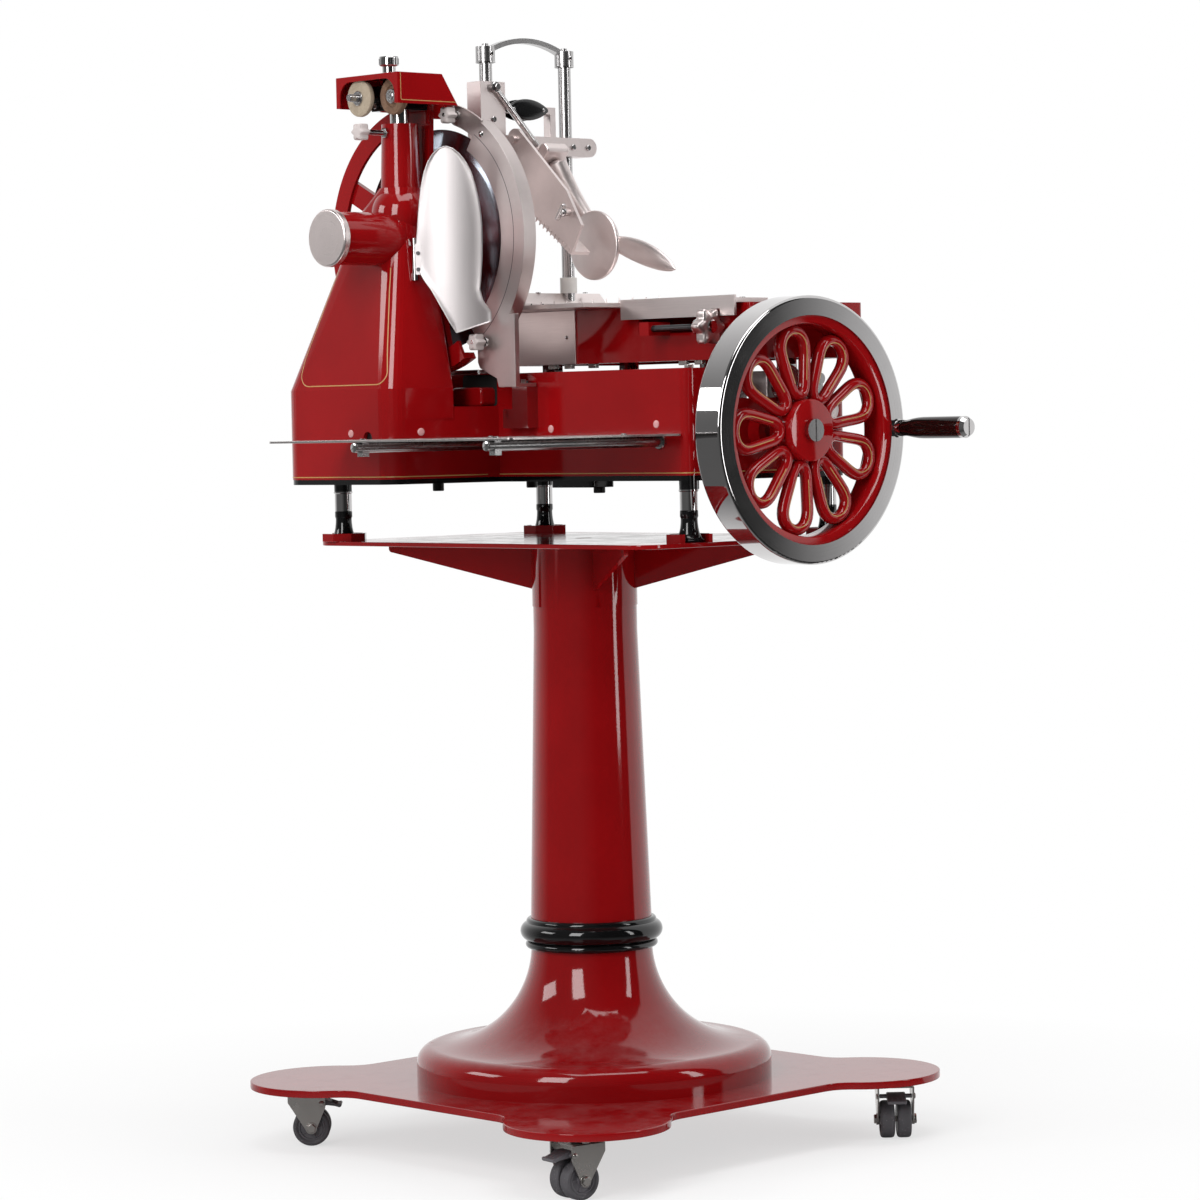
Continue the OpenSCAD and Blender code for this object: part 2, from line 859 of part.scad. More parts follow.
// Cylinder along +Y
module ycyl(r, h) { rotate([-90, 0, 0]) cylinder(r = r, h = h); }
// Straight bar or cone between two points
module strut(p, q, r0, r1) {
  v = q - p;
  translate(p) rotate([0, acos(v[2] / norm(v)), atan2(v[1], v[0])]) cylinder(r1 = r0, r2 = r1, h = norm(v));
}
// Moves along the blade shaft
module at_shaft(x) { translate([x, shaft_y, shaft_z]) children(); }
// Moves along the flywheel's axis
module at_wheel(y) { translate([wheel_x, y, wheel_z]) children(); }
// Box between two corners
module box(p, q) { translate(p) cube(q - p); }
// Rectangle with rounded corners
module round_rect(x0, y0, x1, y1, r) {
  translate([x0 + r, y0]) square([x1 - x0 - 2 * r, y1 - y0]);
  translate([x0, y0 + r]) square([x1 - x0, y1 - y0 - 2 * r]);
  for (x = [x0 + r, x1 - r], y = [y0 + r, y1 - r]) translate([x, y]) circle(r);
}
// Knob with lobes and a flat face, along +X
module star(r, l, n) {
  xcyl(r * 0.62, l);
  for (i = [0:n - 1]) rotate([i * 360 / n, 0, 0]) translate([0, 0, r * 0.7]) xcyl(r * 0.3, l);
}

module base_outline() {
  d = lobe_r + hollow_r;
  dx = side_d + hollow_r - lobe_c;
  hy = lobe_c - sqrt(d * d - dx * dx);
  tx = lobe_c + (lobe_r - over) * dx / d;
  ty = lobe_c - (lobe_r - over) * (lobe_c - hy) / d;
  difference() {
    union() {
      translate([-side_d, -side_d]) square(2 * side_d);
      for (a = [0:90:270]) rotate(a) {
        translate([lobe_c, lobe_c]) circle(lobe_r);
        polygon([[lobe_c, hy], [side_d + hollow_r, hy], [tx, ty], [lobe_c, lobe_c]]);
        polygon([[lobe_c, lobe_c], [ty, tx], [hy, side_d + hollow_r], [hy, lobe_c]]);
      }
    }
    for (a = [0:90:270]) rotate(a) {
      translate([side_d + hollow_r, hy]) circle(hollow_r);
      translate([hy, side_d + hollow_r]) circle(hollow_r);
    }
  }
}
module base_plate() {
  color(red) translate([0, 0, base_z]) difference() {
    linear_extrude(base_t) base_outline();
    translate([0, 0, -over]) cylinder(d = tie_d, h = base_t + 2 * over);
  }
}
module bell_profile(w) {
  hh = column_r0 + bell_sweep;
  square([bell_r - bell_roll, bell_foot_h - w]);
  square([bell_r - w, bell_foot_h - bell_roll]);
  translate([bell_r - bell_roll, bell_foot_h - bell_roll]) circle(bell_roll - w);
  difference() {
    square([hh, bell_foot_h + bell_sweep]);
    translate([hh, bell_foot_h + bell_sweep]) circle(bell_sweep + w);
    translate([hh, 0]) square([bell_sweep, bell_foot_h + bell_sweep]);
  }
}
module pedestal_bell() {
  color(red) translate([0, 0, base_top]) difference() {
    rotate_extrude() intersection() { bell_profile(0); square([bell_r, bell_foot_h + bell_sweep]); }
    difference() {
      translate([0, 0, -over]) cylinder(r = bell_r - wall_t, h = bell_foot_h + bell_sweep + 2 * over);
      rotate_extrude() difference() {
        translate([0, -2 * over]) square([bell_r, bell_foot_h + bell_sweep + 4 * over]);
        intersection() { bell_profile(wall_t); square([bell_r - wall_t, bell_foot_h + bell_sweep]); }
        translate([0, -2 * over]) square([bell_r - wall_t, 2 * over + thin]);
        translate([0, bell_foot_h + bell_sweep - thin]) square([column_r0 - wall_t, 4 * over]);
      }
    }
  }
}
neck_top = base_top + bell_foot_h + bell_sweep;
module moulding_ring() {
  color("#101010") difference() {
    union() {
      translate([0, 0, mould_z - mould_bead]) cylinder(r = mould_r - mould_bead, h = 2 * mould_bead);
      translate([0, 0, mould_z]) rotate_extrude() translate([mould_r - mould_bead, 0]) circle(mould_bead);
      translate([0, 0, mould_z + mould_bead]) rotate_extrude() translate([mould_r - mould_bead, 0])
        circle(mould_lip);
      translate([0, 0, mould_z - mould_bead - mould_lip]) rotate_extrude()
        translate([mould_low_r - mould_lip, 0]) circle(mould_lip);
      translate([0, 0, mould_z - mould_bead - 2 * mould_lip])
        cylinder(r = mould_low_r - mould_lip, h = mould_bead + 2 * mould_lip);
    }
    translate([0, 0, mould_z - 3 * mould_bead]) {
      cylinder(r = column_r0, h = 6 * mould_bead);
      cylinder(r = column_r0 + seat, h = neck_top - mould_z + 3 * mould_bead);
    }
  }
}
module column() {
  color(red) difference() {
    union() {
      translate([0, 0, neck_top]) cylinder(r = column_r0, h = taper_z0 - neck_top);
      translate([0, 0, taper_z0]) cylinder(r1 = column_r0, r2 = column_r1, h = taper_z1 - taper_z0);
      translate([0, 0, taper_z1]) cylinder(r = column_r1, h = seam_z - taper_z1);
    }
    translate([0, 0, neck_top - over]) cylinder(r = column_r0 - wall_t, h = taper_z0 - neck_top + over);
    translate([0, 0, taper_z0]) cylinder(r1 = column_r0 - wall_t, r2 = column_r1 - wall_t,
      h = taper_z1 - taper_z0);
    translate([0, 0, taper_z1]) cylinder(r = column_r1 - wall_t, h = seam_z - taper_z1 + over);
  }
}
module column_head() {
  a = atan2(top_hy, top_hx);
  color(red) {
    difference() {
      union() {
        translate([0, 0, seam_z]) cylinder(r = head_r, h = top_z - seam_z);
        translate([0, 0, seam_z - spigot_h]) cylinder(r = column_r1 - wall_t, h = spigot_h + over);
      }
      translate([0, 0, seam_z - spigot_h - over])
        cylinder(r = column_r1 - 2 * wall_t, h = top_z - seam_z + spigot_h + over - head_cap_t);
      translate([0, 0, seam_z]) cylinder(d = tie_d, h = top_z - seam_z + over);
    }
    for (b = [a, -a, 180 - a, 180 + a]) rotate(b) translate([0, gusset_t / 2, 0]) rotate([90, 0, 0])
      linear_extrude(gusset_t) {
        polygon([[head_r - wall_t / 2, top_z], [gusset_l, top_z], [gusset_l, top_z - gusset_tip / 2],
          [gusset_l - gusset_tip / 2, top_z - gusset_tip], [head_r, top_z - gusset_h],
          [head_r - wall_t / 2, top_z - gusset_h]]);
        translate([gusset_l - gusset_tip / 2, top_z - gusset_tip / 2]) circle(gusset_tip / 2);
      }
  }
}
module top_plate() {
  color(red) translate([0, 0, top_z]) difference() {
    linear_extrude(top_t) round_rect(-top_hx, -top_hy, top_hx, top_hy, top_corner);
    translate([0, 0, -over]) cylinder(d = top_hole_d, h = top_t + 2 * over);
  }
}
module foot_retainers() {
  color(red) for (p = foot_xy) translate([p[0], p[1], top_face]) linear_extrude(retain_h) difference() {
    rotate(22.5) circle(retain_r, $fn = 8);
    rotate(22.5) circle(retain_r - retain_t, $fn = 8);
    rotate(atan2(p[1], p[0])) polygon([[0, 0], [2 * retain_r, -1.6 * retain_r],
      [2 * retain_r, 1.6 * retain_r]]);
  }
}
module tie_rod() {
  color(zinc) {
    translate([0, 0, base_z - nut_h]) cylinder(d = tie_d, h = top_z + nut_h - base_z + nut_h);
    translate([0, 0, base_z - nut_h]) cylinder(d = nut_d, h = nut_h, $fn = 6);
    translate([0, 0, top_z]) cylinder(d = nut_d, h = nut_h, $fn = 6);
  }
}
module caster_mounts() {
  color(zinc) for (p = caster_xy) translate([p[0], p[1], 0]) {
    translate([-mount_w / 2, -mount_w / 2, base_z - mount_t]) cube([mount_w, mount_w, mount_t]);
    translate([0, 0, race_z]) cylinder(r = race_r, h = race_t);
    for (x = [-1, 1], y = [-1, 1]) translate([x * mount_pitch / 2, y * mount_pitch / 2,
      base_z - mount_t - mount_screw_h])
      cylinder(d = mount_screw_d, h = mount_screw_h);
  }
}
module place_caster(i) { translate([caster_xy[i][0], caster_xy[i][1], 0]) rotate(caster_a[i]) children(); }
module fork(i) {
  cz = race_z - run;
  color(steel) place_caster(i) {
    translate([0, 0, cz - fork_t]) cylinder(r = crown_r, h = fork_t);
    translate([-crown_r / 2, -fork_w / 2, cz - fork_t]) cube([pedal_x + crown_r / 2, fork_w, fork_t]);
    for (s = [-1, 1]) translate([0, s * (fork_w - fork_t) / 2 + fork_t / 2, 0]) rotate([90, 0, 0])
      linear_extrude(fork_t) {
      polygon([[-crown_r / 2, cz], [pedal_x + 2 * pedal_pin_r, cz], [pedal_x + 2 * pedal_pin_r,
        pedal_z - 2 * pedal_pin_r],
        [trail + axle_d, axle_z], [trail - axle_d * 0.7, axle_z - axle_d * 0.7],
          [-crown_r / 2, cz - 2 * fork_t - race_t]]);
      translate([trail, axle_z]) circle(axle_d);
    }
    translate([trail, -fork_w / 2 - fork_t, axle_z]) ycyl(axle_d / 2, fork_w + 2 * fork_t);
  }
}
module wheel(i) {
  color("#55565a") place_caster(i) translate([trail, 0, axle_z]) {
    for (s = [0, 1]) mirror([0, s, 0]) difference() {
      translate([0, wheel_gap / 2, 0]) rotate([-90, 0, 0]) rotate_extrude() {
        square([wheel_d / 2 - tread_r, wheel_w]);
        translate([0, tread_r]) square([wheel_d / 2, wheel_w - 2 * tread_r]);
        for (z = [tread_r, wheel_w - tread_r]) translate([wheel_d / 2 - tread_r, z]) circle(tread_r);
      }
      ycyl(axle_d / 2 + run, wheel_w + 2 * wheel_gap);
    }
    difference() {
      translate([0, -wheel_gap / 2, 0]) ycyl(axle_d, wheel_gap);
      translate([0, -wheel_gap, 0]) ycyl(axle_d / 2 + run, 2 * wheel_gap);
    }
  }
}
module pedal(i) {
  w = fork_w - 2 * fork_t;
  color("#6a6b6e") place_caster(i) {
    translate([pedal_x, run - w / 2, pedal_z]) ycyl(pedal_pin_r, w - 2 * run);
    translate([pedal_x, -pedal_w / 2, pedal_z]) rotate([0, 12, 0]) {
      translate([0, 0, -pedal_t / 2]) cube([pedal_l, pedal_w, pedal_t]);
      translate([pedal_l, 0, 0]) ycyl(pedal_t / 2, pedal_w);
    }
  }
}
module fork_1() { fork(0); }
module fork_2() { fork(1); }
module fork_3() { fork(2); }
module fork_4() { fork(3); }
module wheel_1() { wheel(0); }
module wheel_2() { wheel(1); }
module wheel_3() { wheel(2); }
module wheel_4() { wheel(3); }
module pedal_1() { pedal(0); }
module pedal_2() { pedal(1); }
module pedal_3() { pedal(2); }
module pedal_4() { pedal(3); }

// Shape in Y and Z drawn out along +X
module on_x(h) { rotate([90, 0, 90]) linear_extrude(h) children(); }
// Shape in X and Z drawn out along +Y
module on_y(h) { translate([0, h, 0]) rotate([90, 0, 0]) linear_extrude(h) children(); }
module sector(r, a0, a1) {
  polygon([[0, 0], for (i = [0:6]) r * [cos(a0 + (a1 - a0) * i / 6), sin(a0 + (a1 - a0) * i / 6)]]);
}

module block_outline(i, x1) {
  n = sqrt(1 + slope_k * slope_k);
  c = [tower_x + block_r, block_cy];
  polygon([[x1, tower_y - (x1 - tower_x) * slope_k + i * n], [x1, body_y1 - i], [c[0], body_y1 - i],
    [c[0], body_y1 - block_r], [tower_x + i, body_y1 - block_r], [tower_x + i, c[1]], c,
    c + (block_r - i) / n * [-slope_k, -1]]);
  translate(c) circle(block_r - i);
  translate([c[0], body_y1 - block_r]) circle(block_r - i);
}
module body_outline(i) {
  round_rect(body_x0 + i, body_y0 + i, body_x1 - i, body_y1 - i, body_r - i);
  block_outline(i, body_x0 + body_r + i);
}
module tower_taper(i, z0, z1) {
  r = block_r - i;
  xb = tower_bx - i;
  r1 = tower_r1 - i;
  xs = [neck_x - tower_hw + tower_r1, tower_bx - tower_r1];
  hull() {
    for (y = [block_cy, body_y1 - block_r]) translate([tower_x + block_r, y, z0])
      cylinder(r = r, h = tower_up, $fn = hull_fn);
    translate([xb - thin, tower_y - (xb - tower_x) * slope_k + i, z0])
      cylinder(r = thin, h = tower_up, $fn = hull_fn);
    translate([xb - thin, body_y1 - i - thin, z0]) cylinder(r = thin, h = tower_up, $fn = hull_fn);
    for (x = xs, y = [tower_r1 - tower_hw, tower_wy - tower_r1]) translate([x, shaft_y + y, z1 - thin])
      cylinder(r = r1, h = thin, $fn = hull_fn);
    translate([neck_x, shaft_y, z1]) cylinder(r = neck_r - i, h = tower_cap, $fn = hull_fn);
  }
}
module tower_outer() {
  difference() {
    union() {
      tower_taper(0, block_z, tower_z1);
      translate([0, 0, ball_up]) at_shaft(neck_x) sphere(ball_r);
      at_shaft(neck_x) cylinder(r1 = neck_r, r2 = neck_r1, h = neck_z - shaft_z);
      at_shaft(boss_x) xcyl(boss_r, neck_x - boss_x);
    }
    box([tower_bx, shaft_y - back_r, ledge_z], [blade_x, shaft_y + back_r, neck_z + over]);
  }
}
module base_casting() {
  web_y = main_y1 - 2 * bearing_l - bevel_h;
  br = shaft_r + cast_t;
  color(red) difference() {
    union() {
      translate([0, 0, cast_z]) linear_extrude(block_z - cast_z) body_outline(0);
      translate([0, 0, block_z]) {
        linear_extrude(deck_z - block_z) round_rect(body_x0, body_y0, body_x1, body_y1, body_r);
        linear_extrude(bed_z - block_z) round_rect(body_x0, body_y0, body_x0 + bed_w, body_y1, body_r);
      }
      translate([0, 0, block_z - over]) linear_extrude(ledge_z - block_z + over) intersection() {
        block_outline(0, body_x0 + body_r);
        translate([tower_bx - cast_t, body_y0]) square([body_x1 - tower_bx, body_y1 - body_y0]);
      }
      tower_outer();
      at_wheel(body_y0 - bearing_l) ycyl(bearing_r, bearing_l + cast_t);
    }
    difference() {
      union() {
        translate([0, 0, cast_z - over]) {
          linear_extrude(deck_z - cast_t - cast_z + over)
            round_rect(body_x0 + cast_t, body_y0 + cast_t, body_x1 - cast_t, body_y1 - cast_t,
              body_r - cast_t);
          linear_extrude(bed_z - cast_t - cast_z + over)
            round_rect(body_x0 + cast_t, body_y0 + cast_t, body_x0 + bed_w - cast_t, body_y1 - cast_t,
              body_r - cast_t);
          linear_extrude(block_z - cast_z + over) block_outline(cast_t, body_x0);
        }
        translate([0, 0, block_z - over]) linear_extrude(ledge_z - block_z - cast_t + over) intersection() {
          block_outline(cast_t, body_x0);
          translate([tower_bx, body_y0]) square([body_x1 - tower_bx, body_y1 - body_y0]);
        }
        tower_taper(cast_t, block_z - over, tower_z1 - cast_t);
        at_shaft(chain_x - chain_w) xcyl(sprocket_r1 + 2 * chain_t, 2 * chain_w);
      }
      translate([0, 0, cast_z]) linear_extrude(deck_z - cast_z) intersection() {
        body_outline(cast_t / 2);
        for (p = foot_xy) translate(p) circle(foot_cap_r + 2 * over);
      }
      box([body_x0, web_y, wheel_z - bearing_r], [body_x1, web_y + bearing_l / 2, deck_z]);
      at_wheel(body_y0) ycyl(bearing_r, bearing_l + cast_t);
      at_wheel(web_y) ycyl(bearing_r, bearing_l);
      translate([body_x1 - 2 * cast_t - bearing_l, shaft_y, wheel_z]) xcyl(br, 2 * bearing_l);
      translate([body_x0 - cast_t, shaft_y, wheel_z]) xcyl(br, bearing_l);
      box([body_x1 - 2 * cast_t - bearing_l, shaft_y - thin, wheel_z], [body_x1, shaft_y + thin, deck_z]);
    }
    at_wheel(body_y0 - bearing_l - over) ycyl(main_r + run, web_y + 2 * (bearing_l + over) - body_y0);
    translate([tower_x, shaft_y, wheel_z]) xcyl(shaft_r + run, body_x1 - cast_t - tower_x);
    at_shaft(boss_x - over) xcyl(shaft_r + run, tower_bx - boss_x + 2 * over);
    translate([neck_x, shaft_y, post_b]) cylinder(d = post_d, h = post_in + over);
    difference() {
      translate([tower_x, shaft_y - shaft_r - over, wheel_z - shaft_r - over])
        cube([cast_t + over, shaft_d + 2 * over, shaft_d + 2 * over]);
      translate([tower_x - over, shaft_y - shaft_d, wheel_z - shaft_d])
        cube([cast_t, 2 * shaft_d, 2 * shaft_d]);
    }
  }
}
module base_skirt() {
  color("#161616") {
    translate([0, 0, body_z]) linear_extrude(skirt_h) difference() {
      body_outline(skirt_in);
      body_outline(cast_t + 2 * over);
    }
    for (p = foot_xy) translate([p[0], p[1], body_z - foot_cap_h])
      cylinder(r = foot_cap_r, h = foot_cap_h + skirt_h);
  }
}
module feet() {
  h = body_z - foot_cap_h - sleeve_h - top_face;
  w = pad_r1 - pad_r0;
  color("#161616") for (p = foot_xy) translate([p[0], p[1], top_face]) {
    cylinder(r = pad_r1, h = pad_rim);
    rotate_extrude() polygon([[0, pad_rim], [pad_r1 - pad_rim / 2, pad_rim],
      [pad_r0 + w * 0.5, pad_rim + (h - pad_rim - pad_neck) * 0.3],
      [pad_r0 + w * 0.2, pad_rim + (h - pad_rim - pad_neck) * 0.65], [pad_r0, h - pad_neck], [pad_r0, h],
        [0, h]]);
  }
}
module sleeves() {
  color(steel) for (p = foot_xy) translate([p[0], p[1], body_z - foot_cap_h - sleeve_h])
    cylinder(r = sleeve_r, h = sleeve_h);
}
module end_cap() {
  color(zinc) at_shaft(cap_x) rotate([0, 90, 0]) {
    cylinder(r1 = cap_r - cap_edge, r2 = cap_r, h = cap_edge);
    translate([0, 0, cap_edge]) cylinder(r = cap_r, h = cap_t - cap_edge);
  }
}
module back_wheel() {
  n = floor((back_a1 - back_a0) / back_step);
  color(red) at_shaft(back_x) difference() {
    union() {
      difference() {
        union() {
          difference() {
            xcyl(back_r, back_w);
            translate([back_ft, 0, 0]) xcyl(back_r - back_t, back_w);
            translate([-over, 0, 0]) xcyl(back_r - back_t - back_flange, back_w + 2 * over);
          }
          translate([guard_x + guard_t - back_x - back_w, 0, 0]) difference() {
            xcyl(back_r, back_w + guard_t);
            translate([-over, 0, 0]) xcyl(back_r - back_tab, back_w + guard_t + 2 * over);
            translate([-over, 0, 0]) on_x(back_w + guard_t + 2 * over)
              sector(2 * back_r, back_a1 - 360, back_a1 - 8);
          }
        }
        translate([-over, 0, 0]) on_x(2 * back_w + guard_t) sector(2 * back_r, back_a1, back_a0 + 360);
      }
      for (i = [0:n]) rotate([back_a0 + (back_a1 - back_a0 - n * back_step) * 0.7 + i * back_step, 0, 0])
        translate([spoke_t / 2, back_hub_r / 2, -spoke_w / 2])
          cube([spoke_t, back_r - back_t - back_hub_r / 2 + seat, spoke_w]);
      translate([guard_x + guard_t - back_x, 0, 0]) difference() {
        on_x(guard_t) difference() { circle(back_r); circle(back_r - back_tab); }
        translate([-over, 0, 0]) on_x(guard_t + 2 * over) sector(2 * back_r, lug_a + 4, back_a1 - 8 + 360);
      }
      translate([tower_bx - back_x, 0, 0]) xcyl(back_hub_r, back_x - tower_bx + back_w / 2);
    }
    translate([tower_bx - back_x - over, 0, 0]) xcyl(shaft_r + run, 2 * back_w);
  }
}
module guard_ring() {
  stand_share = [[0, 0], [0.45, 0], [0.5, 0.12], [0.95, 0.27], [1, 0.35], [1, 0.62], [0.9, 0.78], [0.6, 1],
    [0, 1]];
  color(cast) {
    at_shaft(guard_x) {
      difference() {
        xcyl(guard_r1, guard_w);
        translate([guard_t, 0, 0]) xcyl(guard_r1 - guard_t, guard_w);
        translate([-over, 0, 0]) xcyl(guard_r0, guard_w + 2 * over);
        translate([-over, 0, 0]) on_x(guard_w + 2 * over) sector(2 * guard_r1, guard_a1 - 360, guard_a0);
      }
      on_x(guard_t) {
        translate(lug_d * [cos(lug_a), sin(lug_a)]) circle(lug_r);
        intersection() {
          difference() { circle(lug_d + lug_r); circle(lug_d - lug_r); }
          sector(2 * guard_r1, lug_a, guard_a0 + 2);
        }
      }
    }
    translate([guard_x, stand_y, stand_z]) {
      on_x(stand_t) polygon([for (s = stand_share) [s[0] * stand_w, s[1] * stand_h]]);
      cube([stand_t + stand_foot_l, gblock_w, stand_foot_t]);
      translate([stand_t + stand_foot_l - gblock_x / 2, gblock_w / 2, stand_foot_t])
        cylinder(r = stud_d / 2, h = stand_foot_t);
    }
  }
}
module guard_block() {
  color("#c9c3c3") {
    box([body_x0 - gblock_x, stand_y, stand_z - gblock_h], [body_x0, stand_y + gblock_w, stand_z]);
    box([body_x0 - gblock_x, stand_y, stand_z - gblock_h - gblock_h0], [body_x0, stand_y + gblock_w0,
      stand_z - gblock_h]);
    zc = defl_z0 + defl_h * 0.4;
    difference() {
      for (z = [zc - defl_pin_l * 0.75, zc + defl_pin_l / 2]) translate([0, 0, z]) {
        box([defl_x - defl_pin_r / 2, defl_y, 0], [defl_x + defl_pin_r / 2, shaft_y, defl_pin_l / 4]);
        translate([defl_x, defl_y, 0]) cylinder(r = defl_pin_r, h = defl_pin_l / 4);
      }
      tower_outer();
    }
    translate([defl_x, defl_y, zc - defl_pin_l / 2]) cylinder(r = defl_pin_r / 2, h = defl_pin_l);
  }
}
module star_knobs() {
  color(steel) {
    for (p = [[lug_d, lug_a], [lug_d, (guard_a1 * 2 + back_a0 + 360) / 3 - star_r / 2.5]])
      translate([guard_x, shaft_y + p[0] * cos(p[1]), shaft_z + p[0] * sin(p[1])]) {
        translate([-star_l - stud_d, 0, 0]) star(star_r, star_l, star_n);
        translate([-stud_d - over, 0, 0]) xcyl(stud_d / 2, stud_d + over);
      }
    translate([neck_x, shaft_y, neck_z - star_r]) difference() {
      translate([-neck_r - 3 * star_l, 0, 0]) {
        star(star_r, star_l, star_n);
        translate([star_l - over, 0, 0]) xcyl(stud_d / 2, 2 * star_l + neck_r);
      }
      translate([0, 0, star_r - neck_z + shaft_z]) cylinder(r1 = neck_r, r2 = neck_r1, h = neck_z - shaft_z);
    }
  }
}
module slice_deflector() {
  zc = defl_h * 0.4;
  color("#dcdcde") translate([defl_x, defl_y, defl_z0]) {
    difference() {
      union() {
        rotate(defl_a) intersection() {
          translate([0, defl_r / 3, 0]) rotate([90, 0, 0]) linear_extrude(2 * defl_r / 3)
            polygon([for (s = defl_share) [s[0] * defl_w, s[1] * defl_h]]);
          translate([defl_w / 2, sqrt(defl_r * defl_r - defl_w * defl_w / 4), -over]) difference() {
            cylinder(r = defl_r + defl_t / 2, h = defl_h + 2 * over);
            translate([0, 0, -over]) cylinder(r = defl_r - defl_t / 2, h = defl_h + 4 * over);
          }
        }
        translate([0, 0, zc - defl_pin_l / 2 + run]) cylinder(r = defl_pin_r, h = defl_pin_l - 2 * run);
      }
      translate([0, 0, zc - defl_pin_l]) cylinder(r = defl_pin_r / 2 + run, h = 2 * defl_pin_l);
    }
  }
}
module tray() {
  color("#c9c9cb") translate([0, 0, tray_b]) difference() {
    linear_extrude(tray_t) round_rect(tray_x0, tray_y0, tray_x1, tray_y1, tray_corner);
    translate([0, 0, -over]) linear_extrude(tray_t + 2 * over) block_outline(-tray_clear, tray_x1 + over);
  }
}
module tray_arms() {
  color(steel) for (y = [arm_y0, arm_y1]) {
    translate([body_x0 - arm_l, y, arm_zc]) xcyl(arm_h / 2, arm_l);
    box([body_x0 - arm_l, y - clamp_w / 2, tray_b - clamp_h],
      [body_x0 - arm_l + clamp_w, y + clamp_w / 2, tray_b]);
    translate([body_x0 - arm_l - clamp_l, y, arm_zc]) xcyl(clamp_r, clamp_l);
  }
}
module rails() {
  w = (rail_d + deck_z - rail_z) / 2;
  color(steel) for (x = rail_xs) {
    translate([x, body_y0 + cast_t, rail_z]) ycyl(rail_d / 2, body_y1 - body_y0 - 2 * cast_t);
    for (y = [body_y0 + 2 * cast_t, body_y1 - 2 * cast_t - rail_foot])
      box([x - rail_foot / 2, y, deck_z], [x + rail_foot / 2, y + rail_foot, rail_z]);
  }
}
module loop(d) {
  l = shaft_z - wheel_z;
  s = (sprocket_r0 - sprocket_r1) / l;
  c = sqrt(1 - s * s);
  r0 = sprocket_r0 + d;
  r1 = sprocket_r1 + d;
  translate([shaft_y, wheel_z]) {
    circle(r0);
    translate([0, l]) circle(r1);
    polygon([[-r0 * c, r0 * s], [r0 * c, r0 * s], [r1 * c, l + r1 * s], [-r1 * c, l + r1 * s]]);
  }
}
module drive_chain() {
  z = (wheel_z + shaft_z) / 2;
  color("#5a5a5c") {
    translate([chain_x - chain_w / 2, 0, 0]) on_x(chain_w) difference() {
      loop(chain_gap + chain_t);
      loop(chain_gap);
    }
    box([chain_x + chain_w / 2 - seat, shaft_y - sprocket_r0 - chain_t, z - chain_w],
      [tower_bx - cast_t, shaft_y - sprocket_r1, z + chain_w]);
  }
}
module sharpener_post() {
  color(steel) translate([neck_x, shaft_y, post_b]) cylinder(d = post_d, h = sh_z + frame_h - post_b);
}
module sharpener() {
  color("#a9a9ab") difference() {
    union() {
      translate([neck_x - frame_lx / 2, shaft_y - frame_ly / 2, sh_z]) cube([frame_lx, frame_ly, frame_h]);
      translate([sh_x, shaft_y, sh_z + frame_h - over])
        cylinder(r = tk_neck, h = hood_z - hood_t - sh_z - frame_h + over);
      translate([sh_x, shaft_y, hood_z]) cylinder(r = tk_neck, h = tk_neck_h);
      translate([sh_x, shaft_y, hood_z + tk_neck_h]) cylinder(r = tk_r, h = tk_h);
      translate([sh_x, shaft_y, hood_z - hood_t - over]) cylinder(r = tk_neck / 2, h = hood_t + 2 * over);
    }
    translate([neck_x, shaft_y, sh_z - over]) cylinder(r = post_d / 2 + run, h = frame_h + over);
  }
}
module hood() {
  x0 = hood_x0;
  x1 = x0 + hood_lx;
  y0 = shaft_y - hood_ly / 2;
  z0 = hood_z - hood_h;
  color(red) difference() {
    translate([0, y0, 0]) on_y(hood_ly)
      polygon([[x0, z0], [x0, hood_z], [x1 - hood_slope, hood_z], [x1, z0]]);
    translate([0, y0 + hood_t, 0]) on_y(hood_ly - 2 * hood_t)
      polygon([[x0 + hood_t, z0 - over], [x0 + hood_t, hood_z - hood_t],
        [x1 - hood_slope - hood_t, hood_z - hood_t],
        [x1 - hood_t * 1.5, z0 - over]]);
    translate([x0 - over, 0, 0]) on_x(hood_t + 2 * over)
      round_rect(y0 + 3 * hood_t, z0 - hood_h, shaft_y + hood_ly / 2 - 3 * hood_t, hood_z - 3 * hood_t,
        hood_h / 2);
    translate([sh_x, shaft_y, hood_z - hood_t - over]) cylinder(r = tk_neck / 2, h = hood_t + 2 * over);
    at_shaft(neck_x) xcyl(back_r + over, hood_lx);
  }
}
module stones() {
  xf = neck_x - frame_lx / 2;
  color("#b3a183") {
    translate([stone_x - stone_t / 2, stone_y, stone_z]) xcyl(stone_r, stone_t);
    translate([stone_x + stone_dx - stone_t / 2, stone2_y, stone_z]) xcyl(stone_r, stone_t);
  }
  color(steel) {
    translate([stone_x - 3 * stone_t, stone_y, stone_z]) xcyl(sspin_d / 2, xf - stone_x + 3 * stone_t);
    translate([stone_x + stone_dx - stone_t, stone2_y, stone_z])
      xcyl(sspin_d / 2, xf - stone_x - stone_dx + stone_t);
  }
}
module dial_housing() {
  color(cast) {
    difference() {
      box([dial_x - house_w / 2, body_y0 + house_l / 8, deck_z], [dial_x + house_w / 2, body_y0 + house_l,
        dial_z + house_h / 2]);
      translate([dial_x, body_y0, dial_z]) ycyl(dshaft_d / 2 + run, house_l / 2);
    }
    translate([stop_x, body_y0 - dial_t, stop_z]) ycyl(stop_r, dial_t);
  }
}
module thickness_dial() {
  color(steel) {
    translate([dial_x, dial_y, dial_z]) ycyl(dial_r, dial_t);
    translate([dial_x, dial_y + dial_t - over, dial_z])
      ycyl(dshaft_d / 2, body_y0 + house_l / 3 - dial_y - dial_t + over);
  }
}

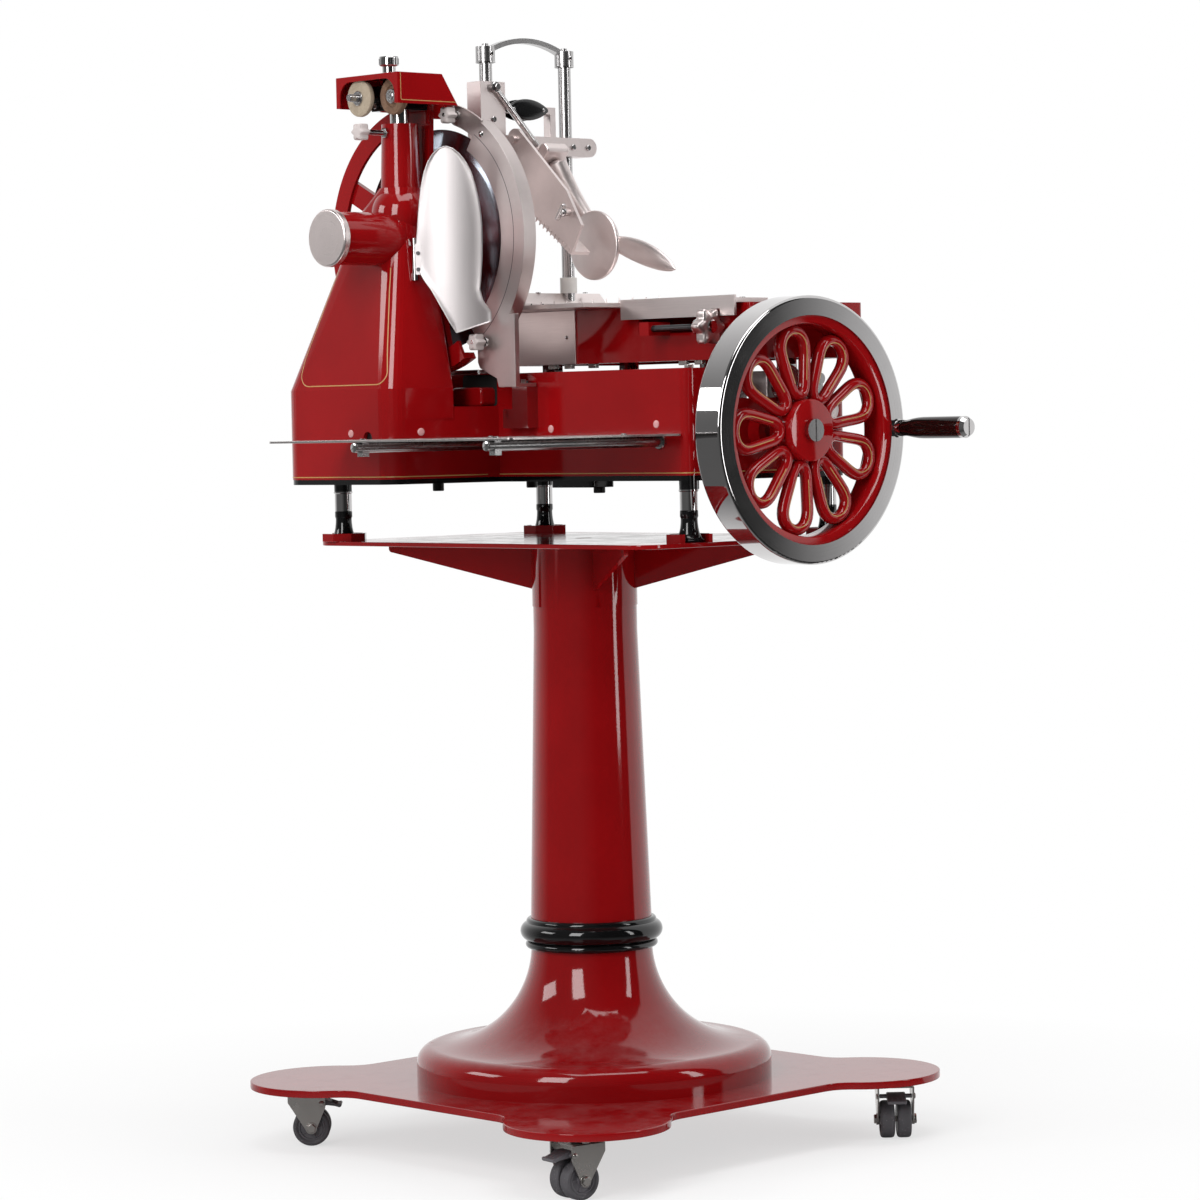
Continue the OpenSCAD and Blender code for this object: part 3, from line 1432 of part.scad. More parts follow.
module teardrop(e) {
  r1 = petal_r1 - e;
  r0 = petal_r0 - e;
  s = (r1 - r0) / (petal_d1 - petal_d0);
  c = sqrt(1 - s * s);
  translate([petal_d1, 0]) circle(r1);
  translate([petal_d0, 0]) circle(r0);
  polygon([[petal_d1 - r1 * s, r1 * c], [petal_d1 - r1 * s, -r1 * c], [petal_d0 - r0 * s, -r0 * c],
    [petal_d0 - r0 * s, r0 * c]]);
}
module flywheel() {
  ri = rim_r0 - ring_t;
  color(red) at_wheel(wheel_y) difference() {
    union() {
      translate([0, (rim_w - ring_w) / 2, 0]) difference() {
        ycyl(rim_r0, ring_w);
        translate([0, -over, 0]) ycyl(ri, ring_w + 2 * over);
      }
      translate([0, petal_in, 0]) on_y(petal_t) difference() {
        for (i = [0:petal_n - 1]) rotate(180 + i * 360 / petal_n) teardrop(0);
        for (i = [0:petal_n - 1]) rotate(180 + i * 360 / petal_n) teardrop(petal_band);
      }
      translate([0, (rim_w - hub_t) / 2, 0]) ycyl(hub_r, hub_t);
    }
    translate([0, -over, 0]) ycyl(main_r, rim_w + 2 * over);
  }
}
module flywheel_rim() {
  color("#d5d5d7") at_wheel(wheel_y) {
    rotate([-90, 0, 0]) rotate_extrude() {
      translate([rim_r0, 0]) square([wheel_r - rim_edge - rim_r0, rim_w]);
      translate([rim_r0, rim_edge]) square([wheel_r - rim_r0, rim_w - 2 * rim_edge]);
      for (z = [rim_edge, rim_w - rim_edge]) translate([wheel_r - rim_edge, z]) circle(rim_edge);
    }
    translate([grip_d, -collar_l, 0]) ycyl(collar_r, collar_l + over);
    translate([grip_d, -collar_l - grip_l, 0]) ycyl(spindle_d / 2, collar_l + grip_l + over);
  }
}
module main_shaft() {
  f = wheel_y + (rim_w - hub_t) / 2;
  y = shaft_y - bevel_r;
  color(steel) {
    difference() {
      at_wheel(f - hubcap_h) ycyl(hubcap_r, hubcap_h);
      translate([wheel_x - slot_w / 2, f - hubcap_h - over, wheel_z - hubcap_r])
        cube([slot_w, slot_w + over, 2 * hubcap_r]);
    }
    at_wheel(f - over) ycyl(main_r, main_y1 - f + over);
    at_wheel(y) rotate([-90, 0, 0])
      cylinder(r1 = pinion_r - mesh_gap, r2 = pinion_r * (1 - bevel_h / bevel_r) - mesh_gap, h = bevel_h);
  }
}
module crank_grip() {
  l = grip_l - 2 * run;
  color("#1c1212") translate([wheel_x + grip_d, wheel_y - collar_l - run, wheel_z]) difference() {
    rotate([90, 0, 0]) {
      cylinder(r1 = grip_r0, r2 = grip_r, h = l / 3);
      translate([0, 0, l / 3]) cylinder(r = grip_r, h = l * 2 / 3);
    }
    translate([0, -grip_l - over, 0]) ycyl(spindle_d / 2 + run, grip_l + 2 * over);
  }
}
module grip_cap() {
  color(steel) translate([wheel_x + grip_d, wheel_y - collar_l - grip_l, wheel_z]) difference() {
    rotate([90, 0, 0]) {
      cylinder(r = grip_r, h = grip_cap_h / 2);
      translate([0, 0, grip_cap_h / 2]) cylinder(r1 = grip_r, r2 = grip_r0, h = grip_cap_h / 2);
    }
    translate([-slot_w / 2, -grip_cap_h - over, -grip_r]) cube([slot_w, slot_w + over, 2 * grip_r]);
  }
}
module cross_shaft() {
  xg = wheel_x - pinion_r;
  color(satin) {
    translate([tower_x + cast_t, shaft_y, wheel_z])
      xcyl(shaft_r, body_x1 - cast_t - tower_x - cast_t - seat);
    translate([chain_x - sprocket_t / 2, shaft_y, wheel_z]) xcyl(sprocket_r0, sprocket_t);
    translate([xg, shaft_y, wheel_z]) rotate([0, 90, 0])
      cylinder(r1 = bevel_r - mesh_gap, r2 = bevel_r * (1 - bevel_h / 2 / pinion_r) - mesh_gap,
        h = bevel_h / 2);
  }
}
module blade() {
  h = blade_t / 2;
  color("#d9d9db") at_shaft(blade_x) difference() {
    union() {
      rotate([0, 90, 0]) rotate_extrude()
        polygon([[0, -h], [blade_r - blade_bevel, -h], [blade_r, h - blade_edge], [blade_r, h], [0, h]]);
      translate([-h - blade_hub_t, 0, 0]) xcyl(blade_hub_r, blade_hub_t + over);
    }
    translate([-2 * blade_hub_t, 0, 0]) xcyl(shaft_r, 4 * blade_hub_t);
  }
}
module blade_shaft() {
  color(satin) {
    at_shaft(boss_x + seat) xcyl(shaft_r, blade_x + blade_t / 2 + nut_h - boss_x);
    at_shaft(chain_x - sprocket_t / 2) xcyl(sprocket_r1, sprocket_t);
    at_shaft(blade_x + blade_t / 2) rotate([0, 90, 0]) cylinder(d = 2 * shaft_d, h = nut_h, $fn = 6);
  }
}
module carriage() {
  color(red) {
    difference() {
      translate([0, 0, car_z0]) linear_extrude(car_z1 - car_z0)
        round_rect(car_x0, car_y0, car_x1, car_y1, car_r);
      translate([0, 0, car_z0 - over]) linear_extrude(car_z1 - car_z0 - car_t + over)
        round_rect(car_x0 + car_t, car_y0 + car_t, car_x1 - car_t, car_y1 - car_t, car_r / 2);
      box([car_x0 - over, win_y, win_z], [car_x0 + car_t + over, win_y + win_l, win_z + win_h]);
    }
    for (x = rail_xs, y = roller_y, s = [-1, 1]) difference() {
      translate([x + s * (roller_w / 2 + car_t / 2) - car_t / 2, y - roller_r / 2, roller_z - roller_r / 2])
        cube([car_t, roller_r, car_z1 - car_t - roller_z + roller_r / 2 + seat]);
      translate([x - 2 * roller_w, y, roller_z]) xcyl(roller_pin / 2, 4 * roller_w);
    }
    difference() {
      box([screw_x - screw_d, tab_y0 - screw_d, screw_z - screw_d], [car_x0 + seat, tab_y0 + screw_d,
        screw_z + screw_d]);
      translate([screw_x, tab_y0 - 2 * screw_d, screw_z]) ycyl(screw_d / 2 + run, 4 * screw_d);
    }
  }
}
module end_plate() {
  color(steel) box([car_x0 - endplate_t, endplate_y, car_z0], [car_x0, endplate_y + endplate_l, car_z1]);
}
module rollers() {
  color("#8a8a8c") for (x = rail_xs, y = roller_y) translate([x, y, roller_z]) {
    translate([-roller_w / 2, 0, 0]) xcyl(roller_r, roller_w);
    translate([-roller_w / 2 - car_t, 0, 0]) xcyl(roller_pin / 2, roller_w + 2 * car_t);
  }
}
module product_table() {
  color("#bdbdbf") difference() {
    union() {
      box([tab_x0, tab_ym, tab_z], [tab_x1, tab_y1, tab_top]);
      box([fence_x, tab_y0, tab_z], [tab_x1, tab_ym + over, tab_top]);
      translate([tab_x0, tab_y1 - bar_w, tab_top]) on_x(tab_x1 - tab_x0)
        polygon([[0, 0], [bar_w, 0], [bar_w, bar_h], [bar_cut, bar_h], [0, bar_h - bar_cut]]);
      box([fence_x - fence_t, tab_y0 - fence_l, fence_z], [fence_x, tab_ym, fence_z1]);
      box([fence_x - seat, tab_y0 - fence_l, tab_z], [fence_x + fence_w, tab_y0 + over, tab_top]);
      for (i = [0:pin_n - 1]) translate([pin_x, pin_y - i * pin_pitch, tab_top])
        cylinder(r1 = pin_r, r2 = pin_r / 4, h = pin_h);
    }
    for (x = rod_xs) translate([x, rod_y, bar_top - rod_seat]) cylinder(d = rod_d, h = rod_seat + over);
    translate([screw_x, fknob_y - fknob_t - over, screw_z]) ycyl(fknob_r + over, fknob_t + 2 * over);
  }
}
module guide_rods() {
  zc = rod_z - rod_seat;
  c = (rod_x1 - rod_x0) / 2;
  r = (c * c + arch_h * arch_h) / (2 * arch_h);
  xm = (rod_x0 + rod_x1) / 2;
  color(steel) {
    for (x = rod_xs) {
      translate([x, rod_y, bar_top - rod_seat]) cylinder(d = rod_d, h = rod_z - bar_top + rod_seat);
      translate([x, rod_y, zc]) cylinder(r = rcap_r, h = rcap_h);
      translate([x, rod_y, zc + rcap_h - over]) cylinder(r = rcap_r / 3, h = rcap_h / 5 + over);
    }
    translate([0, rod_y - arch_w / 2, 0]) on_y(arch_w) intersection() {
      translate([xm, zc + rcap_h / 2 + arch_h + arch_t - r]) difference() { circle(r); circle(r - arch_t); }
      translate([rod_x0, zc]) square([2 * c, rcap_h + arch_h + arch_t]);
    }
  }
}
module bushings() {
  color("#ececec") for (x = rod_xs) translate([x, rod_y, bar_top]) difference() {
    cylinder(r = bush_r, h = bush_h);
    translate([0, 0, -over]) cylinder(d = rod_d, h = bush_h + 2 * over);
  }
}
module feed_knob() {
  color("#c9c9cb") {
    translate([screw_x, fknob_y - fknob_t, screw_z]) rotate([0, 0, 90]) star(fknob_r, fknob_t, fknob_n);
    translate([screw_x, fknob_y - over, screw_z]) ycyl(fknob_neck, fknob_t);
    translate([screw_x, fknob_y, screw_z]) ycyl(screw_d / 2, tab_y0 + screw_d - fknob_y);
  }
}
module press_slider() {
  ear = slab_t / 2 + run;
  color(satin) {
    difference() {
      union() {
        box([rod_x0 - sl_w / 2, rod_y - sl_d / 2, sb_z0], [rod_x0 + sl_w / 2, rod_y + sl_d / 2,
          sl_z0 + sl_h]);
        box([rod_x0, rod_y - sb_d / 2, sb_z0], [rod_x1 + sb_reach - sb_h / 2, rod_y + sb_d / 2,
          sb_z0 + sb_h]);
        translate([rod_x1 + sb_reach - sb_h / 2, rod_y - sb_d / 2, sb_z0 + sb_h / 2]) ycyl(sb_h / 2, sb_d);
      }
      for (x = rod_xs) translate([x, rod_y, sb_z0 - over])
        cylinder(r = rod_d / 2 + slide_run, h = sl_z0 + sl_h);
    }
    box([rod_x0 + sl_w / 2 - over, rod_y - grip_w / 2, pg_z - grip_t / 2],
      [gu_x + over, rod_y + grip_w / 2, pg_z + grip_t / 2]);
    box([gu_x, rod_y - grip_w / 2, sb_z0 + sb_h - over],
      [gu_x + grip_t, rod_y + grip_w / 2, pg_z + grip_t / 2]);
    strut([rod_x0, rod_y - sl_d / 2 - link_d / 2 + over, sl_z0 + sl_h - link_d],
      [pa_x, rod_y - sb_d / 2 - link_d / 2 + over, sb_z0 + sb_h / 2], link_d / 2, link_d / 2);
    box([pp_x + pp_t + run, pp_y, pp_z - pp_lug / 2], [pp_x + 3 * pp_t, rod_y, pp_z + pp_lug / 2]);
    translate([pp_x + pp_t + run, pp_y, pp_z]) xcyl(pp_lug / 2, 2 * pp_t - run);
    translate([pp_x - pp_t, pp_y, pp_z]) xcyl(pp_t, 3 * pp_t);
    box([pa_x + slab_w / 2 + run, pa_y, pa_z - pp_lug / 2], [pa_x + slab_w / 2 + 2 * pp_t, rod_y,
      sb_z0 + sb_h / 2]);
    translate([pa_x + slab_w / 2 + run, pa_y, pa_z]) xcyl(pp_lug / 2, 2 * pp_t - run);
    translate([pa_x - slab_w / 2 - pp_t, pa_y, pa_z]) xcyl(pp_t, slab_w + 2 * pp_t);
  }
}
module press_pads() {
  r = (pad_l * pad_l / 4 + pad_h * pad_h / 4) / pad_h;
  xm = (rod_x0 + sl_w / 2 + gu_x) / 2;
  color("#1a1a1a") for (y = [rod_y - grip_w / 2 - pad_t, rod_y + grip_w / 2])
    translate([0, y, 0]) on_y(pad_t)
    intersection() {
      translate([xm, pg_z + r - pad_h / 2]) circle(r);
      translate([xm, pg_z - r + pad_h / 2]) circle(r);
      translate([xm - pad_l / 2 + pad_t / 2, pg_z - pad_h]) square([pad_l - pad_t, 2 * pad_h]);
    }
}
module press_plate() {
  color(cast) translate([pp_x, pp_y, pp_z]) difference() {
    rotate([pp_a, 0, 0]) mirror([0, 1, 0]) {
      on_x(pp_t) {
        polygon([for (s = plate_share) [s[0] * pp_l, s[1] * pp_h]]);
        circle(pp_lug);
      }
      translate([0, pp_l / 2, -pp_h * 1.2]) cube([pp_flange, pp_l / 2, pp_t]);
      for (i = [1:tooth_n]) translate([pp_flange / 2, pp_l / 2 * (1 + i / (tooth_n + 1)),
        -pp_h * 1.2 - tooth_h])
        cylinder(r1 = tooth_r / 4, r2 = tooth_r, h = tooth_h + over);
      translate([-2 * pp_t, pp_l * 0.8, -pp_h * 0.35]) xcyl(pp_t, 2 * pp_t + over);
    }
    translate([-over, 0, 0]) xcyl(pp_t + run, pp_t + 2 * over);
  }
}
module pusher() {
  r = (leaf_l * leaf_l / 4 + leaf_w * leaf_w) / (2 * leaf_w);
  c = [pd_x + pd_t, pd_y, pd_z];
  color(satin) {
    difference() {
      union() {
        translate([pa_x - slab_w / 2, pa_y, pa_z]) rotate([slab_a, 0, 0])
          translate([0, -slab_t / 2, -slab_l / 2]) cube([slab_w, slab_t, slab_l]);
        strut([pa_x + slab_w / 2 - pa_r1, pa_y - slab_t / 2, pa_z - slab_t / 2],
          c + [pa_r0 * 0.8, pd_r / 3, pd_r / 2], pa_r1, pa_r0);
      }
      translate([pa_x - slab_w, pa_y, pa_z]) xcyl(pp_t + run, 2 * slab_w);
    }
    translate([pd_x, pd_y, pd_z]) xcyl(pd_r, pd_t);
    translate([pd_x + pd_t / 2, pd_y - pd_r * 0.8, pd_z]) rotate([leaf_a, 0, 0])
      translate([0, -leaf_l / 2, 0]) on_x(leaf_t)
      intersection() {
        translate([0, r - leaf_w]) circle(r);
        translate([0, leaf_w - r]) circle(r);
      }
  }
}

base_plate();
pedestal_bell();
moulding_ring();
column();
column_head();
top_plate();
foot_retainers();
tie_rod();
caster_mounts();
fork_1();
fork_2();
fork_3();
fork_4();
wheel_1();
wheel_2();
wheel_3();
wheel_4();
pedal_1();
pedal_2();
pedal_3();
pedal_4();
base_casting();
base_skirt();
feet();
sleeves();
end_cap();
back_wheel();
rails();
guard_ring();
guard_block();
star_knobs();
tray();
tray_arms();
drive_chain();
sharpener_post();
dial_housing();
flywheel();
flywheel_rim();
main_shaft();
crank_grip();
grip_cap();
cross_shaft();
blade();
blade_shaft();
slice_deflector();
carriage();
end_plate();
rollers();
product_table();
guide_rods();
bushings();
feed_knob();
press_slider();
press_pads();
press_plate();
pusher();
sharpener();
hood();
stones();
thickness_dial();
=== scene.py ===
from math import acos, atan2, cos, hypot, pi, radians, sin, sqrt, tan

import bmesh
import bpy
from bpy.props import FloatProperty, FloatVectorProperty, IntProperty, PointerProperty
from mathutils import Matrix, Vector


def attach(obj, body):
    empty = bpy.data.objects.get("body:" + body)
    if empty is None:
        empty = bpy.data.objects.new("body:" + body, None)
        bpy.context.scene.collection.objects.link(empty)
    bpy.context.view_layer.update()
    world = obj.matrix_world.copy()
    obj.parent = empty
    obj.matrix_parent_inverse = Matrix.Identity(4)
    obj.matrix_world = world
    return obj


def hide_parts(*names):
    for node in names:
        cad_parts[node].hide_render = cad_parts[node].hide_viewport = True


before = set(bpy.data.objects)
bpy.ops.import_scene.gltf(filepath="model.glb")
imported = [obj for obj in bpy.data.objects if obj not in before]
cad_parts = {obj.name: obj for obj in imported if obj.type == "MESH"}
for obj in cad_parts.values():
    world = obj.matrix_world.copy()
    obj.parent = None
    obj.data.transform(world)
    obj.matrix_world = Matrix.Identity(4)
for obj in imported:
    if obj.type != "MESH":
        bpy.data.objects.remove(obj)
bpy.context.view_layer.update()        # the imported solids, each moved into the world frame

bl_info = {
    "name": "Flywheel slicer dressing",
    "version": (1, 0, 0),
    "blender": (4, 5, 0),
    "location": "3D View > Sidebar > Slicer",
    "description": "Finishes and fine pieces for a hand crank slicer on its stand",
    "category": "Object",
}

MM = 0.001
X, Y, Z = Vector((1, 0, 0)), Vector((0, 1, 0)), Vector((0, 0, 1))

# Places of the solids, in millimetres: blade shaft, neck of the tower, flywheel and crank
SHAFT_Y, SHAFT_Z = 130, 1254
NECK_X, NECK_TOP = -207, 1411
WHEEL_X, WHEEL_Y, WHEEL_Z = 24, -420, 983
GRIP_X = WHEEL_X + 164
# Base: sides of the bed and of the tower, where they join, and the levels from the foot upwards
BED_X, BASE_X1 = -112, 193
BASE_Y0, BASE_Y1 = -321, 312
TOWER_X, TOWER_Y, JOIN_Y = -277, 83, 46
BODY_Z, CAST_Z, LEDGE_Z, BED_Z = 920, 927, 1024, 1068
TOWER_STRAIGHT_Z, TOWER_RISE = 1050, 240
# Stand: its deck, the feet on it, and the place and angle of each caster
PLATE_TOP = 839
FEET = [(-183, 297), (178, 271), (-92, -301), (174, -301)]
CASTERS = [((-294, 294), -43), ((-294, -294), 172), ((294, -294), -133), ((294, 294), 60)]
# Carriage, product table with its feed knob, rods with their caps, and the thickness dial
CAR_X0, CAR_Z0 = -30, 1079
TABLE_TOP, BAR_TOP = 1159.3, 1181.3
FEED_KNOB, DIAL = (-61, -304, 1122), (66, -337, 1046)
ROD_Y, ROD_X = 101, (-73, 76)
CAP_Z, CAP_FOOT = 1511, 1498.5
# Press slider and its parts, press plate and pusher
SLIDER_X, LOCK_Z, SIDE_BAR_Z, PAD_Z = -73, 1464, 1386, 1436
PRESS_PIVOT, PUSHER_PIVOT = (-49.5, 70, 1392), (4, 61, 1365)
DISC_Y, DISC_Z = -14, 1243
# Blade, guard with its stand, and the deflector's hinge
BLADE_X = -139
GUARD_X, STAND_Y, STAND_Z = -152, -34, 1049
HINGE_X, HINGE_Y, HINGE_Z = -226, 83, 1124
# Sharpener: stones as (x, y), post and hood
STONE_Z = 1446
TAN_STONE, BROWN_STONE = (-256, 153), (-243, 98)
POST_X, HOOD_TOP = -224, 1476
# Tray with its arms, and the chain in the tower
ARM_ENDS, ARM_Z, TRAY_TOP = (-272, -13), 972, 982
CHAIN_X = -206


def linear(red, green, blue):
    """A screen colour from 0 to 255 as the linear colour that a shader takes."""
    return tuple((c / 255 / 12.92) if c <= 10.3 else ((c / 255 + 0.055) / 1.055) ** 2.4
        for c in (red, green, blue))


def colour(name, value, text):
    """A colour setting, from a screen colour."""
    return FloatVectorProperty(name=name, description=text, subtype="COLOR", size=3, min=0, max=1,
        default=linear(*value))


def length(name, value, text):
    """A length setting, from millimetres."""
    return FloatProperty(name=name, description=text, subtype="DISTANCE", unit="LENGTH", min=0,
        default=value * MM)


def share(name, value, text):
    """A setting from 0 to 1."""
    return FloatProperty(name=name, description=text, subtype="FACTOR", min=0, max=1, default=value)


class SlicerPaint(bpy.types.PropertyGroup):
    red: colour("Red enamel", (140, 9, 13), "Enamel of the castings and the stand")
    black: colour("Black enamel", (13, 13, 14), "Enamel of the moulding ring, the skirt and the feet")
    gold: colour("Gold line", (176, 132, 74), "Pinstripes")
    grip: colour("Grip", (22, 9, 8), "Turned crank grip")
    gloss: share("Enamel roughness", 0.07, "Roughness of the enamel")
    line_width: length("Line width", 1.5, "Width of the pinstripes")


class SlicerMetal(bpy.types.PropertyGroup):
    steel: colour("Polished steel", (206, 204, 204), "Chrome and polished steel")
    cast: colour("Cast aluminium", (222, 211, 209), "Satin castings of the press, the guard and the table")
    sheet: colour("Steel sheet", (206, 201, 199), "Tray and fence")
    zinc: colour("Zinc", (192, 188, 184), "Caster forks and bolts")
    stone: colour("Stone", (158, 143, 124), "First sharpening stone")
    stone_brown: colour("Brown stone", (104, 77, 60), "Second sharpening stone")
    rubber: colour("Grey rubber", (78, 76, 80), "Caster tyres")


class SlicerSizes(bpy.types.PropertyGroup):
    petal_width: length("Petal width", 15.5, "Width of the flywheel's round petal bars")
    petal_depth: length("Petal depth", 17, "Depth of the flywheel's round petal bars")
    chain_pitch: length("Chain pitch", 9.5, "Distance between two pins of the drive chain")
    screw_pitch: length("Screw pitch", 2.6, "Pitch of the table's feed screw")
    lobes: IntProperty(name="Knob lobes", description="Lobes on each knob", min=4, max=9, default=6)


class SlicerStudio(bpy.types.PropertyGroup):
    key: FloatProperty(name="Key lamp", description="Strength of the large lamp on the left", min=0,
        default=74)
    fill: FloatProperty(name="Fill lamp", description="Strength of the narrow lamp on the right", min=0,
        default=24)
    rear: FloatProperty(name="Back lamp", description="Strength of the lamp behind on the left", min=0,
        default=46)
    top: FloatProperty(name="Top lamp", description="Strength of the lamp overhead", min=0, default=46)
    room: share("Room light", 0.62, "Strength of the white ceiling on matt surfaces")


# Meshes


def arc(cx, cy, radius, start, end, steps):
    """Points of an arc, its angles in degrees."""
    return [(cx + radius * cos(radians(start + (end - start) * i / steps)),
             cy + radius * sin(radians(start + (end - start) * i / steps))) for i in range(steps + 1)]


def rounded(corners, radius, steps=5):
    """A closed outline with its corners rounded."""
    out, n = [], len(corners)
    for i in range(n):
        p, a, b = (Vector(corners[j % n]) for j in (i, i - 1, i + 1))
        u, v = (a - p).normalized(), (b - p).normalized()
        half = acos(max(-1, min(1, u.dot(v)))) / 2
        reach = min(radius / max(tan(half), 1e-6), (a - p).length * 0.49, (b - p).length * 0.49)
        r = reach * tan(half)
        centre = p + (u + v).normalized() * hypot(reach, r)
        s, e = p + u * reach - centre, p + v * reach - centre
        turn = s.angle_signed(e) if s.length > 1e-6 else 0
        for k in range(steps + 1):
            t = -turn * k / steps
            out.append((centre.x + s.x * cos(t) - s.y * sin(t), centre.y + s.x * sin(t) + s.y * cos(t)))
    return out


def along(points, step, closed=True):
    """The same line with points a step apart."""
    pts = [Vector(p) for p in points] + ([Vector(points[0])] if closed else [])
    total = sum((b - a).length for a, b in zip(pts, pts[1:]))
    count = max(3, round(total / step))
    out, i, done = [], 0, 0.0
    for k in range(count if closed else count + 1):
        want = total * k / count
        while i < len(pts) - 2 and done + (pts[i + 1] - pts[i]).length < want:
            done += (pts[i + 1] - pts[i]).length
            i += 1
        d = (pts[i + 1] - pts[i]).length
        out.append(pts[i].lerp(pts[i + 1], min(1, (want - done) / d) if d else 0))
    return out


def lobed(radius, lobes, depth, count=84):
    """The outline of a knob."""
    out = []
    for k in range(count):
        t = 2 * pi * k / count
        r = radius * (1 - depth * (0.5 - 0.5 * cos(lobes * t)) ** 0.8)
        out.append((r * cos(t), r * sin(t)))
    return out


def rod(radius, top, foot=0):
    """The profile of a plain cylinder."""
    return [(0, foot), (radius, foot), (radius, top), (0, top)]


def tube(inner, outer, top):
    """The profile of a plain tube, for a closed lathe."""
    return [(inner, 0), (outer, 0), (outer, top), (inner, top)]


def spoke(angle):
    """The directions along and across a spoke of a wheel whose axis is Y."""
    return Vector((cos(angle), 0, sin(angle))), Vector((-sin(angle), 0, cos(angle)))


def frame_for(direction):
    """Two directions square to this one, so that the three make a right-handed set."""
    w = Vector(direction).normalized()
    if abs(w.x) > 0.99:
        return Y * (1 if w.x > 0 else -1), Z, w
    u = w.cross(X).normalized() if abs(w.z) > 0.99 else Z.cross(w).normalized()
    return u, w.cross(u), w


class Shape:
    """A mesh in the making. Its lengths are in millimetres, in the frame of the machine."""

    def __init__(self, place=None):
        self.bm = bmesh.new()
        self.place = place or Matrix.Identity(4)

    def skin(self, rings, closed=False, ends=True):
        """Faces between rings of equally many points. A ring of one point is a tip."""
        rows = [[self.bm.verts.new(self.place @ Vector(p)) for p in ring] for ring in rings]
        for a, b in list(zip(rows, rows[1:])) + ([(rows[-1], rows[0])] if closed else []):
            n = max(len(a), len(b))
            for i in range(n):
                j = (i + 1) % n
                corners = [a[0]] if len(a) == 1 else [a[i], a[j]]
                corners += [b[0]] if len(b) == 1 else [b[j], b[i]]
                self.bm.faces.new(corners)
        if ends and not closed:
            for row in (rows[0], rows[-1]):
                if len(row) > 2:
                    self.bm.faces.new(row)
        return self

    def lathe(self, at, direction, profile, turns=64, closed=False, start=0):
        """Turns a profile of (radius, height) about a line through a point."""
        u, v, w = frame_for(direction)
        at = Vector(at)
        rings = []
        for r, h in profile:
            if r <= 1e-6:
                rings.append([at + w * h])
            else:
                rings.append([at + w * h + (u * cos(t) + v * sin(t)) * r
                              for t in (start + 2 * pi * k / turns for k in range(turns))])
        return self.skin(rings, closed)

    def layers(self, at, direction, outlines, side=None):
        """Outlines of (u, v) pairs, each at its height along a direction. side is the direction of u."""
        u, v, w = frame_for(direction)
        if side is not None:
            u = Vector(side).normalized()
            v = w.cross(u)
        at = Vector(at)
        return self.skin([[at + w * h + u * p[0] + v * p[1] for p in outline] for outline, h in outlines])

    def plate(self, at, direction, outline, thick, side=None):
        """One outline with a thickness."""
        return self.layers(at, direction, [(outline, 0), (outline, thick)], side)

    def block(self, low, high, radius=0, axis=2):
        """A box between two corners; its edges along one axis may be rounded."""
        low, high = Vector(low), Vector(high)
        i, j = [(1, 2), (2, 0), (0, 1)][axis]
        corners = [(low[i], low[j]), (high[i], low[j]), (high[i], high[j]), (low[i], high[j])]
        if radius:
            corners = rounded(corners, radius)
        rings = []
        for h in (low[axis], high[axis]):
            ring = []
            for a, b in corners:
                p = Vector()
                p[i], p[j], p[axis] = a, b, h
                ring.append(p)
            rings.append(ring)
        return self.skin(rings)

    def sweep(self, path, section, closed=False, up=None):
        """Carries a section of (side, up) pairs along a path. Section and up may be given for each point."""
        pts = [Vector(p) for p in path]
        n = len(pts)
        rings = []
        last = Vector(up) if up is not None and not callable(up) else None
        for i, p in enumerate(pts):
            before, after = (i - 1, (i + 1) % n) if closed else (max(i - 1, 0), min(i + 1, n - 1))
            t = (pts[after] - pts[before]).normalized()
            if last is None:
                last = frame_for(t)[1]
            lift = last if up is None else Vector(up(i) if callable(up) else up)
            lift = (lift - t * lift.dot(t)).normalized()
            last = lift
            s = t.cross(lift)
            pairs = section(i) if callable(section) else section
            rings.append([p + s * q[0] + lift * q[1] for q in pairs])
        return self.skin(rings, closed)

    def slotted(self, at, direction, radius, height, slot, turn=0.0):
        """A round screw head with a slot across it."""
        w = frame_for(direction)[2]
        base = height * 0.45
        self.lathe(at, direction, rod(radius, base), 32)
        for s in (0, 180):
            edge = max(0.05, slot / 2)
            half = atan2(edge, sqrt(radius ** 2 - edge ** 2)) * 180 / pi
            outline = [(x * cos(turn) - y * sin(turn), x * sin(turn) + y * cos(turn))
                       for x, y in arc(0, 0, radius, half + s, 180 - half + s, 14)]
            inner = [(x * 0.86, y * 0.86) for x, y in outline]
            self.layers(Vector(at) + w * base, direction, [(outline, 0), (outline, height * 0.35),
                (inner, height * 0.55)])
        return self

    def hexagon(self, at, direction, across, height, start=0.0):
        """A bolt head or nut with chamfered corners."""
        r = across / 2 / cos(radians(30))
        return self.lathe(at, direction, [(0, 0), (r, 0), (r, height * 0.82), (r * 0.87, height),
            (0, height)], 6, start=start)

    def made(self, name, body, finish, slot, soft=0.0, sharp=38, steps=2, replaces=()):
        """Turns the mesh into a piece that rides on a body. soft is the width of its worn edges."""
        bmesh.ops.recalc_face_normals(self.bm, faces=self.bm.faces)
        bmesh.ops.scale(self.bm, vec=(MM, MM, MM), verts=self.bm.verts)
        mesh = bpy.data.meshes.new(name)
        self.bm.to_mesh(mesh)
        self.bm.free()
        mesh.materials.append(bpy.data.materials[finish])
        mesh.shade_smooth()
        mesh.set_sharp_from_angle(angle=radians(sharp))
        piece = bpy.data.objects.new(name, mesh)
        bpy.context.scene.collection.objects.link(piece)
        if soft:
            soften(piece, soft, steps)
        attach(piece, body)
        if replaces:
            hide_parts(*replaces)
        return piece


